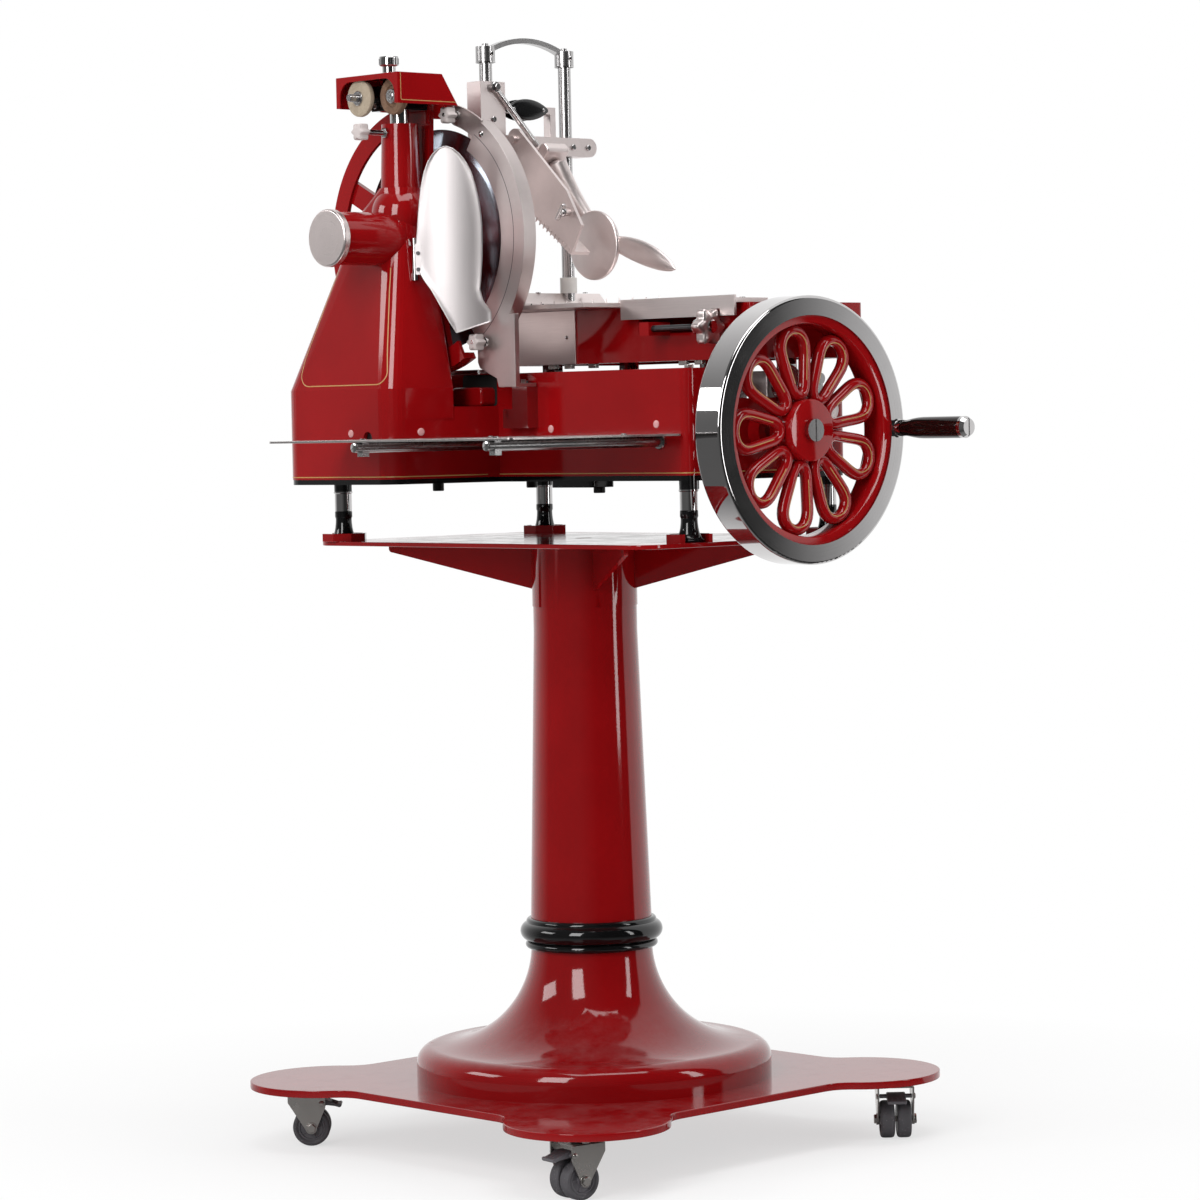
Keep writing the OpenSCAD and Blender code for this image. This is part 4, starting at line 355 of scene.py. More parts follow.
def soften(piece, width, steps=2, welded=True):
    """Rounded edges by modifiers, which leave the mesh itself as it is."""
    if not welded:
        weld = piece.modifiers.new("Weld", "WELD")
        weld.merge_threshold = 1e-6
        flat = piece.modifiers.new("Flat faces", "DECIMATE")
        flat.decimate_type = "DISSOLVE"
        flat.angle_limit = radians(0.6)
    edge = piece.modifiers.new("Worn edges", "BEVEL")
    edge.width = width * MM
    edge.segments = steps
    edge.limit_method = "ANGLE"
    edge.angle_limit = radians(32)
    edge.harden_normals = False
    edge.use_clamp_overlap = True
    edge.miter_outer = "MITER_ARC" if welded else "MITER_SHARP"
    even = piece.modifiers.new("Even shading", "WEIGHTED_NORMAL")
    even.keep_sharp = True
    even.weight = 60


def oval(rx, ry, count=14, start=0.0):
    """The outline of an ellipse."""
    return [(rx * cos(start + 2 * pi * k / count), ry * sin(start + 2 * pi * k / count))
        for k in range(count)]


def line_section(width, raised, sunk=0.3):
    """The section of a painted line that stands a little proud of its surface."""
    h = width / 2
    return [(-h, -sunk), (h, -sunk), (h, raised * 0.4), (h * 0.5, raised), (-h * 0.5, raised),
        (-h, raised * 0.4)]


# Shader nodes


def node(tree, kind, inputs=None, **settings):
    """A shader node with its settings. An input that is a socket is linked."""
    made = tree.nodes.new("ShaderNode" + kind)
    for key, value in settings.items():
        setattr(made, key, value)
    for key, value in (inputs or {}).items():
        if isinstance(value, bpy.types.NodeSocket):
            tree.links.new(value, made.inputs[key])
        else:
            made.inputs[key].default_value = value
    return made


def effect(name, inputs, outputs):
    """An empty node group with its named sockets."""
    tree = bpy.data.node_groups.new(name, "ShaderNodeTree")
    for label, kind, value in inputs:
        socket = tree.interface.new_socket(label, in_out="INPUT", socket_type="NodeSocket" + kind)
        if value is not None:
            socket.default_value = value
    for label in outputs:
        tree.interface.new_socket(label, in_out="OUTPUT", socket_type="NodeSocketFloat")
    return tree, tree.nodes.new("NodeGroupInput").outputs, tree.nodes.new("NodeGroupOutput").inputs


def noise_of(tree, place, scale, detail, rough=0.55):
    return node(tree, "TexNoise", {"Vector": place, "Scale": scale, "Detail": detail,
        "Roughness": rough}).outputs["Fac"]


def spread(tree, value, low, high, to_low=0.0, to_high=1.0):
    """A value carried from one range to another, and held inside it."""
    return node(tree, "MapRange", {"Value": value, "From Min": low, "From Max": high, "To Min": to_low,
        "To Max": to_high}).outputs["Result"]


def times(tree, a, b):
    return node(tree, "Math", {0: a, 1: b}, operation="MULTIPLY").outputs[0]


def mix(tree, factor, a, b):
    return node(tree, "Mix", {"Factor": factor, "A": a, "B": b}).outputs[0]


def vectors(tree, operation, a, b=None, out="Vector"):
    """One step of vector arithmetic on one or two vectors."""
    inputs = {0: a} if b is None else {0: a, 1: b}
    return node(tree, "VectorMath", inputs, operation=operation).outputs[out]


def make_effects():
    """The effects that the finishes share: paint film, cast skin, brushing, lathe marks, specks, dust."""
    place = ("Place", "Vector", None)
    tree, ins, outs = effect("Paint film", [place, ("Peel", "Float", 420.0)], ["Height", "Tone"])
    tree.links.new(noise_of(tree, ins["Place"], ins["Peel"], 1.0), outs["Height"])
    tree.links.new(spread(tree, noise_of(tree, ins["Place"], 7.0, 4.0), 0.35, 0.7), outs["Tone"])

    tree, ins, outs = effect("Cast skin", [place, ("Grain", "Float", 900.0)], ["Height", "Tone"])
    fine = noise_of(tree, ins["Place"], ins["Grain"], 3.0, 0.7)
    slow = noise_of(tree, ins["Place"], 14.0, 5.0, 0.6)
    tree.links.new(times(tree, fine, slow), outs["Height"])
    tree.links.new(spread(tree, slow, 0.3, 0.7), outs["Tone"])

    tree, ins, outs = effect("Brushing", [place, ("Stretch", "Vector", (30, 1400, 1400))],
        ["Height", "Tone"])
    streak = noise_of(tree, vectors(tree, "MULTIPLY", ins["Place"], ins["Stretch"]), 1.0, 3.0, 0.65)
    tree.links.new(streak, outs["Height"])
    slow = noise_of(tree, ins["Place"], 9.0, 4.0)
    tone = node(tree, "Math", {0: streak, 1: 0.5, 2: times(tree, slow, 0.5)}, operation="MULTIPLY_ADD")
    tree.links.new(spread(tree, tone.outputs[0], 0.3, 0.7), outs["Tone"])

    tree, ins, outs = effect("Lathe marks", [place, ("Centre", "Vector", (0, 0, 0)),
        ("Across", "Vector", (0, 1, 1)), ("Fineness", "Float", 1500.0)], ["Height", "Tone"])
    off = vectors(tree, "SUBTRACT", ins["Place"], ins["Centre"])
    radius = vectors(tree, "LENGTH", vectors(tree, "MULTIPLY", off, ins["Across"]), out="Value")
    rings = node(tree, "TexNoise", {"W": radius, "Scale": ins["Fineness"], "Detail": 2.0},
        noise_dimensions="1D").outputs["Fac"]
    tree.links.new(rings, outs["Height"])
    slow = noise_of(tree, ins["Place"], 12.0, 4.0)
    tree.links.new(spread(tree, times(tree, rings, slow), 0.1, 0.4), outs["Tone"])

    tree, ins, outs = effect("Specks", [place, ("Size", "Float", 500.0), ("Share", "Float", 0.5)], ["Mask"])
    cells = node(tree, "TexVoronoi", {"Vector": ins["Place"], "Scale": ins["Size"],
        "Randomness": 1.0}).outputs["Distance"]
    patch = noise_of(tree, ins["Place"], 60.0, 3.0)
    low = times(tree, ins["Share"], 0.4)
    tree.links.new(spread(tree, times(tree, cells, patch), low, 0.0), outs["Mask"])

    tree, ins, outs = effect("Settled dust", [place, ("Amount", "Float", 0.5)], ["Mask"])
    up = node(tree, "SeparateXYZ", {0: node(tree, "NewGeometry").outputs["Normal"]}).outputs["Z"]
    level = spread(tree, up, 0.55, 1.0)
    patch = spread(tree, noise_of(tree, ins["Place"], 22.0, 6.0, 0.7), 0.38, 0.72)
    tree.links.new(times(tree, times(tree, level, patch), ins["Amount"]), outs["Mask"])


def room_seen(tree, way, back, right):
    """How bright the room is in a mirror: white behind, dark on the camera's side, dim on the left."""
    side = vectors(tree, "DOT_PRODUCT", way, tuple(-back), "Value")
    aside = vectors(tree, "DOT_PRODUCT", way, tuple(-right), "Value")
    sharp = spread(tree, side, -0.01, 0.03, 0.03, 1.0)
    soft = spread(tree, side, 0.0, 0.8, 0.13, 1.0)
    return mix(tree, spread(tree, aside, -0.3, 0.3), sharp, soft)


def use_effect(tree, name, **values):
    """One of the shared effects, placed in a finish with its own values."""
    made = tree.nodes.new("ShaderNodeGroup")
    made.node_tree = bpy.data.node_groups[name]
    tree.links.new(node(tree, "TexCoord").outputs["Object"], made.inputs["Place"])
    for key, value in values.items():
        made.inputs[key].default_value = value
    return made.outputs


def new_finish(name):
    """A material with only its shader and output."""
    material = bpy.data.materials.new(name)
    material.use_nodes = True
    tree = material.node_tree
    tree.nodes.clear()
    shader = tree.nodes.new("ShaderNodeBsdfPrincipled")
    tree.links.new(shader.outputs["BSDF"], tree.nodes.new("ShaderNodeOutputMaterial").inputs["Surface"])
    return tree, shader


def two_tones(tree, tone, first, second):
    """A mix of two colours. Either one may be a socket."""
    made = node(tree, "Mix", {0: tone}, data_type="RGBA")
    for socket, value in zip([s for s in made.inputs if s.type == "RGBA"], (first, second)):
        if isinstance(value, bpy.types.NodeSocket):
            tree.links.new(value, socket)
        else:
            socket.default_value = (*value, 1)
    return made.outputs[2]


def bumped(tree, shader, height, depth):
    """Gives a shader a relief, its depth in millimetres."""
    bump = node(tree, "Bump", {"Height": height, "Distance": depth * MM, "Strength": 1.0})
    tree.links.new(bump.outputs["Normal"], shader.inputs["Normal"])


def shaded(rgb, factor):
    """A colour made darker or lighter."""
    return tuple(c * factor for c in rgb)


def enamel(name, rgb, gloss, dust=0.35, peel=420.0, depth=0.012):
    """Glossy paint with a faint peel, slow changes of tone and a little dust on level faces."""
    tree, shader = new_finish(name)
    film = use_effect(tree, "Paint film", Peel=peel)
    base = two_tones(tree, film["Tone"], rgb, shaded(rgb, 0.84))
    mask = use_effect(tree, "Settled dust", Amount=dust)["Mask"]
    dusty = two_tones(tree, mask, base, tuple(0.75 * c + 0.06 for c in rgb))
    tree.links.new(dusty, shader.inputs["Base Color"])
    tree.links.new(spread(tree, mask, 0.0, 1.0, gloss, gloss + 0.18), shader.inputs["Roughness"])
    shader.inputs["IOR"].default_value = 1.52
    bumped(tree, shader, film["Height"], depth)


def metal(name, rgb, rough, effect_name, depth, vary=0.08, darker=0.86, **values):
    """Bare metal whose grain comes from one of the effects."""
    tree, shader = new_finish(name)
    skin = use_effect(tree, effect_name, **values)
    shader.inputs["Metallic"].default_value = 1.0
    tree.links.new(two_tones(tree, skin["Tone"], rgb, shaded(rgb, darker)), shader.inputs["Base Color"])
    tree.links.new(spread(tree, skin["Tone"], 0.0, 1.0, max(0.02, rough - vary), rough + vary),
        shader.inputs["Roughness"])
    bumped(tree, shader, skin["Height"], depth)


def moulded(name, rgb, rough, speck_rgb=None, size=700.0, part=0.5, depth=0.03):
    """Rubber, plastic or stone: a fine skin, with specks of another colour where it has them."""
    tree, shader = new_finish(name)
    skin = use_effect(tree, "Cast skin", Grain=size)
    base = two_tones(tree, skin["Tone"], rgb, shaded(rgb, 0.8))
    if speck_rgb:
        mask = use_effect(tree, "Specks", Size=size, Share=part)["Mask"]
        base = two_tones(tree, mask, base, speck_rgb)
    tree.links.new(base, shader.inputs["Base Color"])
    tree.links.new(spread(tree, skin["Tone"], 0.0, 1.0, rough * 0.85, min(1.0, rough * 1.15)),
        shader.inputs["Roughness"])
    bumped(tree, shader, skin["Height"], depth)


# Finish, width of the worn edges in millimetres, and the solids that have them
SOLID_FINISHES = [
    ("Red enamel of the stand", 1.2, "base_plate top_plate column_head foot_retainers"),
    ("Red enamel of the stand", 0, "pedestal_bell column"),
    ("Black enamel", 0, "moulding_ring"),
    ("Black enamel", 0.6, "base_skirt"),
    ("Zinc plate", 0.5, "tie_rod caster_mounts fork_1 fork_2 fork_3 fork_4"),
    ("Grey rubber", 0, "wheel_1 wheel_2 wheel_3 wheel_4"),
    ("Grey plastic", 0, "pedal_1 pedal_2 pedal_3 pedal_4"),
    ("Red enamel", 2.0, "base_casting"),
    ("Red enamel", 1.0, "back_wheel carriage hood"),
    ("Black enamel", 0, "feet"),
    ("Chrome", 0, "sleeves main_shaft grip_cap"),
    ("Satin arm", 0, "tray_arms guide_rods"),
    ("Turned cap", 0.6, "end_cap"),
    ("Polished rail", 0.6, "rails rollers"),
    ("Satin guard", 0.8, "guard_ring"),
    ("Satin casting", 1.2, "press_slider press_plate pusher dial_housing"),
    ("Black enamel", 0.8, "sharpener"),
    ("Clear block", 0.8, "guard_block"),
    ("Brushed sheet", 0.5, "tray"),
    ("Brushed table", 0.6, "product_table end_plate"),
    ("Oiled steel", 0, "drive_chain cross_shaft blade_shaft"),
    ("Polished steel", 0.4, "sharpener_post thickness_dial star_knobs feed_knob"),
    ("Red enamel of the wheel", 0, "flywheel"),
    ("Chrome rim", 0, "flywheel_rim"),
    ("Grip varnish", 0, "crank_grip"),
    ("Blade steel", 0, "blade"),
    ("Bright sheet", 0, "slice_deflector"),
    ("White plastic", 0.5, "bushings"),
    ("Black plastic", 0, "press_pads"),
    ("Tan stone", 0.6, "stones"),
]


class SLICER_OT_finishes(bpy.types.Operator):
    """Mixes the finishes and gives one to each carried-over solid"""

    bl_idname = "slicer.finishes"
    bl_label = "Finishes"

    def execute(self, context):
        paint, metals = context.scene.slicer_paint, context.scene.slicer_metal
        make_effects()
        red, black = tuple(paint.red), tuple(paint.black)
        enamel("Red enamel", red, paint.gloss)
        # The wheel's red is the base's enamel made lighter, painted light, and the stand's red is it made
        # darker, painted shade
        enamel("Red enamel of the wheel", shaded(red, 1.08), paint.gloss * 0.8, dust=0.1)
        enamel("Red enamel of the stand", shaded(red, 0.92), paint.gloss, dust=0.75)
        enamel("Black enamel", black, 0.06, dust=0.3)
        enamel("Gold line", tuple(paint.gold), 0.35, dust=0.0, peel=900.0)
        enamel("Grip varnish", tuple(paint.grip), 0.07, dust=0.0)
        steel, cast, sheet, zinc = (tuple(c) for c in (metals.steel, metals.cast, metals.sheet,
            metals.zinc))
        wheel = (WHEEL_X * MM, WHEEL_Y * MM, WHEEL_Z * MM)
        blade = (0, SHAFT_Y * MM, SHAFT_Z * MM)
        metal("Chrome", steel, 0.06, "Paint film", 0.004, vary=0.02, Peel=260.0)
        metal("Chrome rim", steel, 0.05, "Lathe marks", 0.0012, vary=0.02, Centre=wheel, Across=(1, 0, 1),
            Fineness=900.0)
        metal("Polished steel", steel, 0.16, "Brushing", 0.004, vary=0.05, Stretch=(900, 900, 40))
        metal("Polished rail", steel, 0.14, "Brushing", 0.003, vary=0.05, Stretch=(900, 30, 900))
        # Blade steel is the polished steel made darker and bluer: a painted dark reflection
        metal("Blade steel", linear(150, 156, 166), 0.2, "Lathe marks", 0.004, vary=0.04, Centre=blade,
            Across=(0, 1, 1), Fineness=1300.0)
        # Turned cap, satin casting and brushed table are the cast aluminium made lighter, painted light; the
        # satin guard is it made darker, painted shade
        metal("Turned cap", shaded(cast, 1.12), 0.34, "Lathe marks", 0.006, vary=0.07, Centre=blade,
            Across=(0, 1, 1), Fineness=1100.0)
        metal("Satin casting", shaded(cast, 1.08), 0.38, "Cast skin", 0.05, vary=0.07, Grain=800.0)
        metal("Satin guard", shaded(cast, 0.86), 0.36, "Cast skin", 0.02, vary=0.06, Grain=1300.0)
        metal("Brushed sheet", sheet, 0.27, "Brushing", 0.006, vary=0.07, Stretch=(1500, 26, 1500))
        metal("Brushed table", shaded(cast, 1.15), 0.33, "Brushing", 0.006, vary=0.06,
            Stretch=(1300, 24, 1300))
        metal("Bright sheet", linear(222, 216, 216), 0.5, "Brushing", 0.002, vary=0.04, darker=0.97,
            Stretch=(700, 700, 18))
        metal("Clear block", shaded(steel, 0.9), 0.1, "Paint film", 0.003, vary=0.03, Peel=120.0)
        # Satin arm is the polished steel made darker: painted shade
        metal("Satin arm", shaded(steel, 0.85), 0.26, "Brushing", 0.003, vary=0.04, Stretch=(30, 900, 900))
        metal("Zinc plate", zinc, 0.27, "Cast skin", 0.02, vary=0.08, Grain=420.0)
        metal("Oiled steel", linear(92, 90, 92), 0.4, "Cast skin", 0.03, vary=0.1, Grain=700.0)
        moulded("Grey rubber", tuple(metals.rubber), 0.62, linear(150, 146, 148), 260.0, 0.22)
        moulded("Grey plastic", shaded(tuple(metals.rubber), 1.5), 0.42, None, 900.0)
        moulded("Black plastic", linear(14, 14, 15), 0.16, None, 1200.0, depth=0.006)
        moulded("Black rubber", linear(20, 20, 20), 0.55, None, 600.0)
        moulded("White plastic", linear(228, 226, 222), 0.35, None, 900.0, depth=0.01)
        moulded("Clouded plastic", linear(206, 150, 150), 0.2, None, 300.0, depth=0.01)
        moulded("Pale plastic", linear(196, 186, 184), 0.34, None, 900.0, depth=0.008)
        moulded("Tan stone", tuple(metals.stone), 0.85, linear(196, 182, 160), 1500.0, 0.8, depth=0.12)
        moulded("Brown stone", tuple(metals.stone_brown), 0.85, linear(150, 118, 92), 1500.0, 0.7,
            depth=0.12)
        # Near black: painted shade for the dark inside of the slots and of the well beside the blade
        moulded("Dark opening", linear(9, 8, 8), 0.7, None, 500.0)
        for finish, soft, nodes in SOLID_FINISHES:
            for name in nodes.split():
                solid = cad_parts[name]
                solid.data.materials.clear()
                solid.data.materials.append(bpy.data.materials[finish])
                if soft:
                    soften(solid, soft, welded=False)
        return {"FINISHED"}


class SLICER_OT_stage(bpy.types.Operator):
    """Floor, room, lamps and camera"""

    bl_idname = "slicer.stage"
    bl_label = "Stage"

    def execute(self, context):
        scene, studio = context.scene, context.scene.slicer_studio
        scene.view_settings.view_transform = "Standard"
        # Camera: the picture is 1200 by 1200, seen from the front left a little above the deck
        image, focal = 1200, 4060
        yaw, pitch, roll = radians(-43.5), radians(2.56), radians(-1.16)
        distance, aside, height = 5.6231, 0.021, 1.004
        back = Vector((sin(yaw), -cos(yaw), 0))
        right = Vector((cos(yaw), sin(yaw), 0))
        ahead = -back * cos(pitch) - Z * sin(pitch)
        over = right.cross(ahead)
        across = right * cos(roll) + over * sin(roll)
        upward = -right * sin(roll) + over * cos(roll)
        data = bpy.data.cameras.new("Camera")
        data.sensor_width = 36
        data.lens = 36 * focal / image
        data.clip_end = 60
        camera = bpy.data.objects.new("Camera", data)
        scene.collection.objects.link(camera)
        place = back * distance + right * aside + Z * height
        turn = Matrix((across, upward, -ahead)).transposed().to_4x4()
        camera.matrix_world = Matrix.Translation(place) @ turn
        scene.camera = camera

        # Floor: white for the camera far away, matt with the shadow of the machine near it
        reach = 14
        floor = bpy.data.meshes.new("Floor")
        floor.from_pydata([(-reach, -reach, 0), (reach, -reach, 0), (reach, reach, 0), (-reach, reach, 0)],
            [], [(0, 1, 2, 3)])
        ground = bpy.data.objects.new("Floor", floor)
        ground.location.z = -0.0005
        scene.collection.objects.link(ground)
        tree, shader = new_finish("Floor")
        floor.materials.append(bpy.data.materials["Floor"])
        shader.inputs["Base Color"].default_value = (0.86, 0.86, 0.86, 1)
        shader.inputs["Roughness"].default_value = 0.9
        shader.inputs["Specular IOR Level"].default_value = 0.1
        path = node(tree, "LightPath").outputs
        seen = node(tree, "Math", {0: path["Is Camera Ray"], 1: path["Is Glossy Ray"]},
            operation="MAXIMUM").outputs[0]
        seen = node(tree, "Math", {0: seen, 1: path["Is Transmission Ray"]}, operation="MAXIMUM").outputs[0]
        spot = node(tree, "TexCoord").outputs["Object"]
        far = spread(tree, vectors(tree, "LENGTH", spot, out="Value"), 0.35, 1.3, 0.62, 1.0)
        glow = room_seen(tree, vectors(tree, "NORMALIZE", spot), back, right)
        glow = mix(tree, path["Is Glossy Ray"], 1.0, glow)
        white = node(tree, "Emission", {"Color": (1, 1, 1, 1), "Strength": glow}).outputs[0]
        mixed = node(tree, "MixShader", {0: times(tree, seen, far), 1: shader.outputs[0], 2: white})
        output = next(n for n in tree.nodes if n.type == "OUTPUT_MATERIAL")
        tree.links.new(mixed.outputs[0], output.inputs["Surface"])

        # Room: white to the eye and in reflections from behind, dimmer elsewhere and on matt surfaces
        world = bpy.data.worlds.new("Room")
        scene.world = world
        world.use_nodes = True
        tree = world.node_tree
        tree.nodes.clear()
        path = node(tree, "LightPath").outputs
        way = node(tree, "TexCoord").outputs["Generated"]
        lift = node(tree, "SeparateXYZ", {0: way}).outputs["Z"]
        mirror = room_seen(tree, way, back, right)
        above = spread(tree, lift, -0.1, 0.8, 0.12 * studio.room, studio.room)
        strength = mix(tree, path["Is Glossy Ray"], above, mirror)
        strength = mix(tree, path["Is Camera Ray"], strength, 1.0)
        strength = mix(tree, path["Is Transmission Ray"], strength, 1.0)
        light = node(tree, "Background", {"Color": (1, 1, 1, 1), "Strength": strength})
        tree.links.new(light.outputs[0], tree.nodes.new("ShaderNodeOutputWorld").inputs["Surface"])

        for name, where, aim, size, watts in (
            ("Key lamp", (-3.4, -1.2, 2.4), (0, 0, 1.0), (1.3, 2.4), studio.key),
            ("Fill lamp", (1.5, -3.3, 1.7), (0, 0, 0.9), (0.5, 2.6), studio.fill),
            ("Top lamp", (-0.4, -0.8, 3.6), (0, 0, 1.0), (2.2, 1.6), studio.top),
            ("Back lamp", (-3.6, 2.6, 2.7), (0, 0, 1.2), (2.0, 1.2), studio.rear),
        ):
            lamp = bpy.data.lights.new(name, "AREA")
            lamp.shape = "RECTANGLE"
            lamp.size, lamp.size_y = size
            lamp.energy = watts
            holder = bpy.data.objects.new(name, lamp)
            scene.collection.objects.link(holder)
            holder.location = where
            holder.rotation_euler = (Vector(aim) - Vector(where)).to_track_quat("-Z", "Y").to_euler()
        return {"FINISHED"}


class SLICER_OT_flywheel(bpy.types.Operator):
    """Ring, hub, round petals and their gold lines"""

    bl_idname = "slicer.flywheel"
    bl_label = "Flywheel"

    def execute(self, context):
        sizes, paint = context.scene.slicer_sizes, context.scene.slicer_paint
        rx, ry = sizes.petal_width / MM / 2, sizes.petal_depth / MM / 2
        front, depth, middle = WHEEL_Y + 3, 40, WHEEL_Y + 19
        wide_at, wide_r, thin_at, thin_r, band = 108, 33, 56, 20, 13
        r1, r0 = wide_r - band / 2, thin_r - band / 2
        lean = acos((r1 - r0) / (wide_at - thin_at)) * 180 / pi
        loop = arc(wide_at, 0, r1, -lean, lean, 16) + arc(thin_at, 0, r0, lean, 360 - lean, 12)
        loop = along([Vector(p) for p in loop], 6.5)
        # Smoothed, so that the bar bends without corners
        for _ in range(5):
            loop = [loop[i] * 0.5 + (loop[i - 1] + loop[(i + 1) % len(loop)]) * 0.25
                for i in range(len(loop))]
        casting, lines = Shape(), Shape()
        hub = Vector((WHEEL_X, 0, WHEEL_Z))

        def turned(p, a):
            """A point of the first petal, turned about the hub."""
            return hub + Vector((p[0] * cos(a) - p[1] * sin(a), 0, p[0] * sin(a) + p[1] * cos(a)))

        n = len(loop)
        for k in range(9):
            a = radians(180 + k * 40)
            path = [turned(p, a) + Y * middle for p in loop]
            casting.sweep(path, oval(rx, ry, 16), closed=True, up=Y)
            # The line runs on the crest of the bar, a little towards the inside of the petal
            crest = []
            for i, p in enumerate(loop):
                t = (loop[(i + 1) % n] - loop[i - 1]).normalized()
                inward = Vector((-t.y, t.x))
                if p.x > 62:
                    q = p + inward * rx * sin(0.42)
                    crest.append((i, turned(q, a) + Y * (middle - ry * cos(0.42))))
            gap = next((j for j in range(len(crest)) if crest[j][0] - crest[j - 1][0] not in (1, 1 - n)), 0)
            crest = [c[1] for c in crest[gap:] + crest[:gap]]
            lines.sweep(crest, line_section(paint.line_width / MM, 0.25), up=-Y)
        edge = 3
        ring = [(151, front), (151 - edge, front), (141.5, front + 1.5), (140, front + 4),
            (140, front + depth - 4), (141.5, front + depth - 1.5), (144, front + depth),
            (151, front + depth)]
        casting.lathe(hub, Y, ring, 144, closed=True)
        casting.lathe(hub, Y, [(0, front), (38.5, front), (40.3, front + 0.6), (41, front + 2),
            (41, front + depth - 2), (39, front + depth), (0, front + depth)], 96)
        casting.made("flywheel_casting", "flywheel", "Red enamel of the wheel", "red_enamel",
            replaces=("flywheel",))
        lines.made("flywheel_gold_lines", "flywheel", "Gold line", "red_enamel")
        return {"FINISHED"}


class SLICER_OT_crank(bpy.types.Operator):
    """Turned grip with its chrome collar and end"""

    bl_idname = "slicer.crank"
    bl_label = "Crank grip"

    def execute(self, context):
        y0, long = WHEEL_Y - 11, 104
        at = (GRIP_X, y0, WHEEL_Z)
        profile = [(5.2, 0.2), (9.6, 0.2), (10.4, 1.2), (10.8, 5), (11.6, 11), (12.9, 18), (14.0, 27),
            (14.45, 36), (14.5, 50), (14.5, 99), (14.3, long - 0.6), (13.6, long - 0.2), (5.2, long - 0.2)]
        Shape().lathe(at, -Y, profile, 64, closed=True).made(
            "turned_grip", "grip", "Grip varnish", "grip_plastic", sharp=30, replaces=("crank_grip",))
        collar = [(0, -0.3), (12.6, -0.3), (12.6, 1.6), (11.2, 2.4), (11.2, 4.2), (9.4, 5.2), (9.4, 7.4),
            (11.1, 8.2), (11.1, 10.4), (10.2, 11), (0, 11)]
        Shape().lathe((GRIP_X, WHEEL_Y, WHEEL_Z), -Y, collar, 48).made(
            "grip_collar", "flywheel", "Chrome", "chrome", sharp=30)
        return {"FINISHED"}


class SLICER_OT_casters(bpy.types.Operator):
    """Twin wheels, brake pedals, axle bolts and rivets of the four casters"""

    bl_idname = "slicer.casters"
    bl_label = "Casters"

    def execute(self, context):
        wheel_r, gap, trail, bolt_y = 26, 3, 20, 25.5
        pivot = Vector((34, 0, 60))
        for i, (spot, angle) in enumerate(CASTERS, 1):
            place = Matrix.Translation((*spot, 0)) @ Matrix.Rotation(radians(angle), 4, "Z")
            axle = Vector((trail, 0, wheel_r))
            tyres, discs, bolts, pedal = Shape(place), Shape(place), Shape(place), Shape(place)
            for s in (1, -1):
                tread = [(18, 1.6), (20.5, 1.0), (22.5, 0.3), (24.6, 1.2), (25.7, 3.2), (26, 6), (26, 14),
                    (25.7, 16.8), (24.6, 18.8), (22.5, 19.7), (20.2, 19.2), (19.2, 17.6), (18, 17.2)]
                tyres.lathe(axle + Y * s * gap / 2, Y * s, tread, 72, closed=True)
                disc = [(4.1, 1.2), (18.3, 1.2), (18.3, 17.4), (16.6, 17.8), (15.2, 15.6), (8.6, 15.2),
                    (7.4, 19.4), (4.1, 19.6)]
                discs.lathe(axle + Y * s * gap / 2, Y * s, disc, 60, closed=True)
                for k in range(5):
                    out, side = spoke(2 * pi * k / 5)
                    base = axle + Y * s * (gap / 2 + 14.6)
                    ring = [base + out * 7.6 - side * 0.9, base + out * 15.4 - side * 0.9,
                        base + out * 15.4 + side * 0.9, base + out * 7.6 + side * 0.9]
                    discs.skin([ring, [p + Y * s * 2.6 for p in ring]])
                edge = Y * s * bolt_y
                bolts.hexagon(axle + edge, Y * s, 12, 4.2, start=0.3)
                bolts.lathe(axle + edge, Y * s, rod(8.2, 0.9, -0.2), 32)
                bolts.lathe((35.5, s * bolt_y, pivot.z), Y * s,
                    [(0, -0.2), (4.2, -0.2), (3.9, 1.2), (2.6, 2.0), (0, 2.3)], 24)
            tyres.made(f"tyres_{i}", f"caster_wheel_{i}", "Grey rubber", "grey_rubber", sharp=50)
            discs.made(f"wheel_discs_{i}", f"caster_wheel_{i}", "Grey plastic", "grey_rubber", sharp=35,
                replaces=(f"wheel_{i}",))
            bolts.made(f"caster_bolts_{i}", f"caster_{i}", "Zinc plate", "zinc_steel", soft=0.3)
            # Ball race between the mounting plate and the fork
            race = Shape(place)
            race.lathe((0, 0, 0), Z, [(14, 73.2), (20.4, 73.2), (21.4, 74.2), (21.4, 75.6), (20.2, 76.6),
                (18.6, 77.2), (14, 77.2)], 48, closed=True)
            race.made(f"race_ring_{i}", "frame", "Zinc plate", "zinc_steel", sharp=30)
            # Pedal: a sloping wedge with a raised lip, drawn as a side profile
            side = [(-6, -3.2), (-1, -4.4), (9, -2.6), (20, -1.8), (26.4, -2.4), (28.4, -0.8), (28.6, 2.2),
                (26.6, 3.4), (23.4, 2.2), (12, 3.6), (2, 5.0), (-4.6, 4.2), (-6.6, 1)]
            tilt = Matrix.Rotation(radians(12), 4, "Y")
            rows = []
            for y, shrink in ((-13, 0.9), (-12.2, 1.0), (12.2, 1.0), (13, 0.9)):
                rows.append([pivot + Y * y + tilt @ Vector((11 + (px - 11) * shrink, 0, pz * shrink))
                    for px, pz in side])
            pedal.skin(rows)
            for k in (-7, 0, 7):
                rib = [pivot + Y * (k + d) + tilt @ Vector((px, 0, pz))
                    for d, px, pz in ((-1, 14, 3.0), (1, 14, 3.0), (1, 22.5, 2.1), (-1, 22.5, 2.1))]
                pedal.skin([rib, [p + Z for p in rib]])
            pedal.lathe(pivot - Y * 22.4, Y, rod(3, 44.8), 24)
            pedal.made(f"brake_pedal_{i}", f"brake_{i}", "Grey plastic", "grey_rubber", soft=0.6,
                replaces=(f"pedal_{i}",))
        return {"FINISHED"}


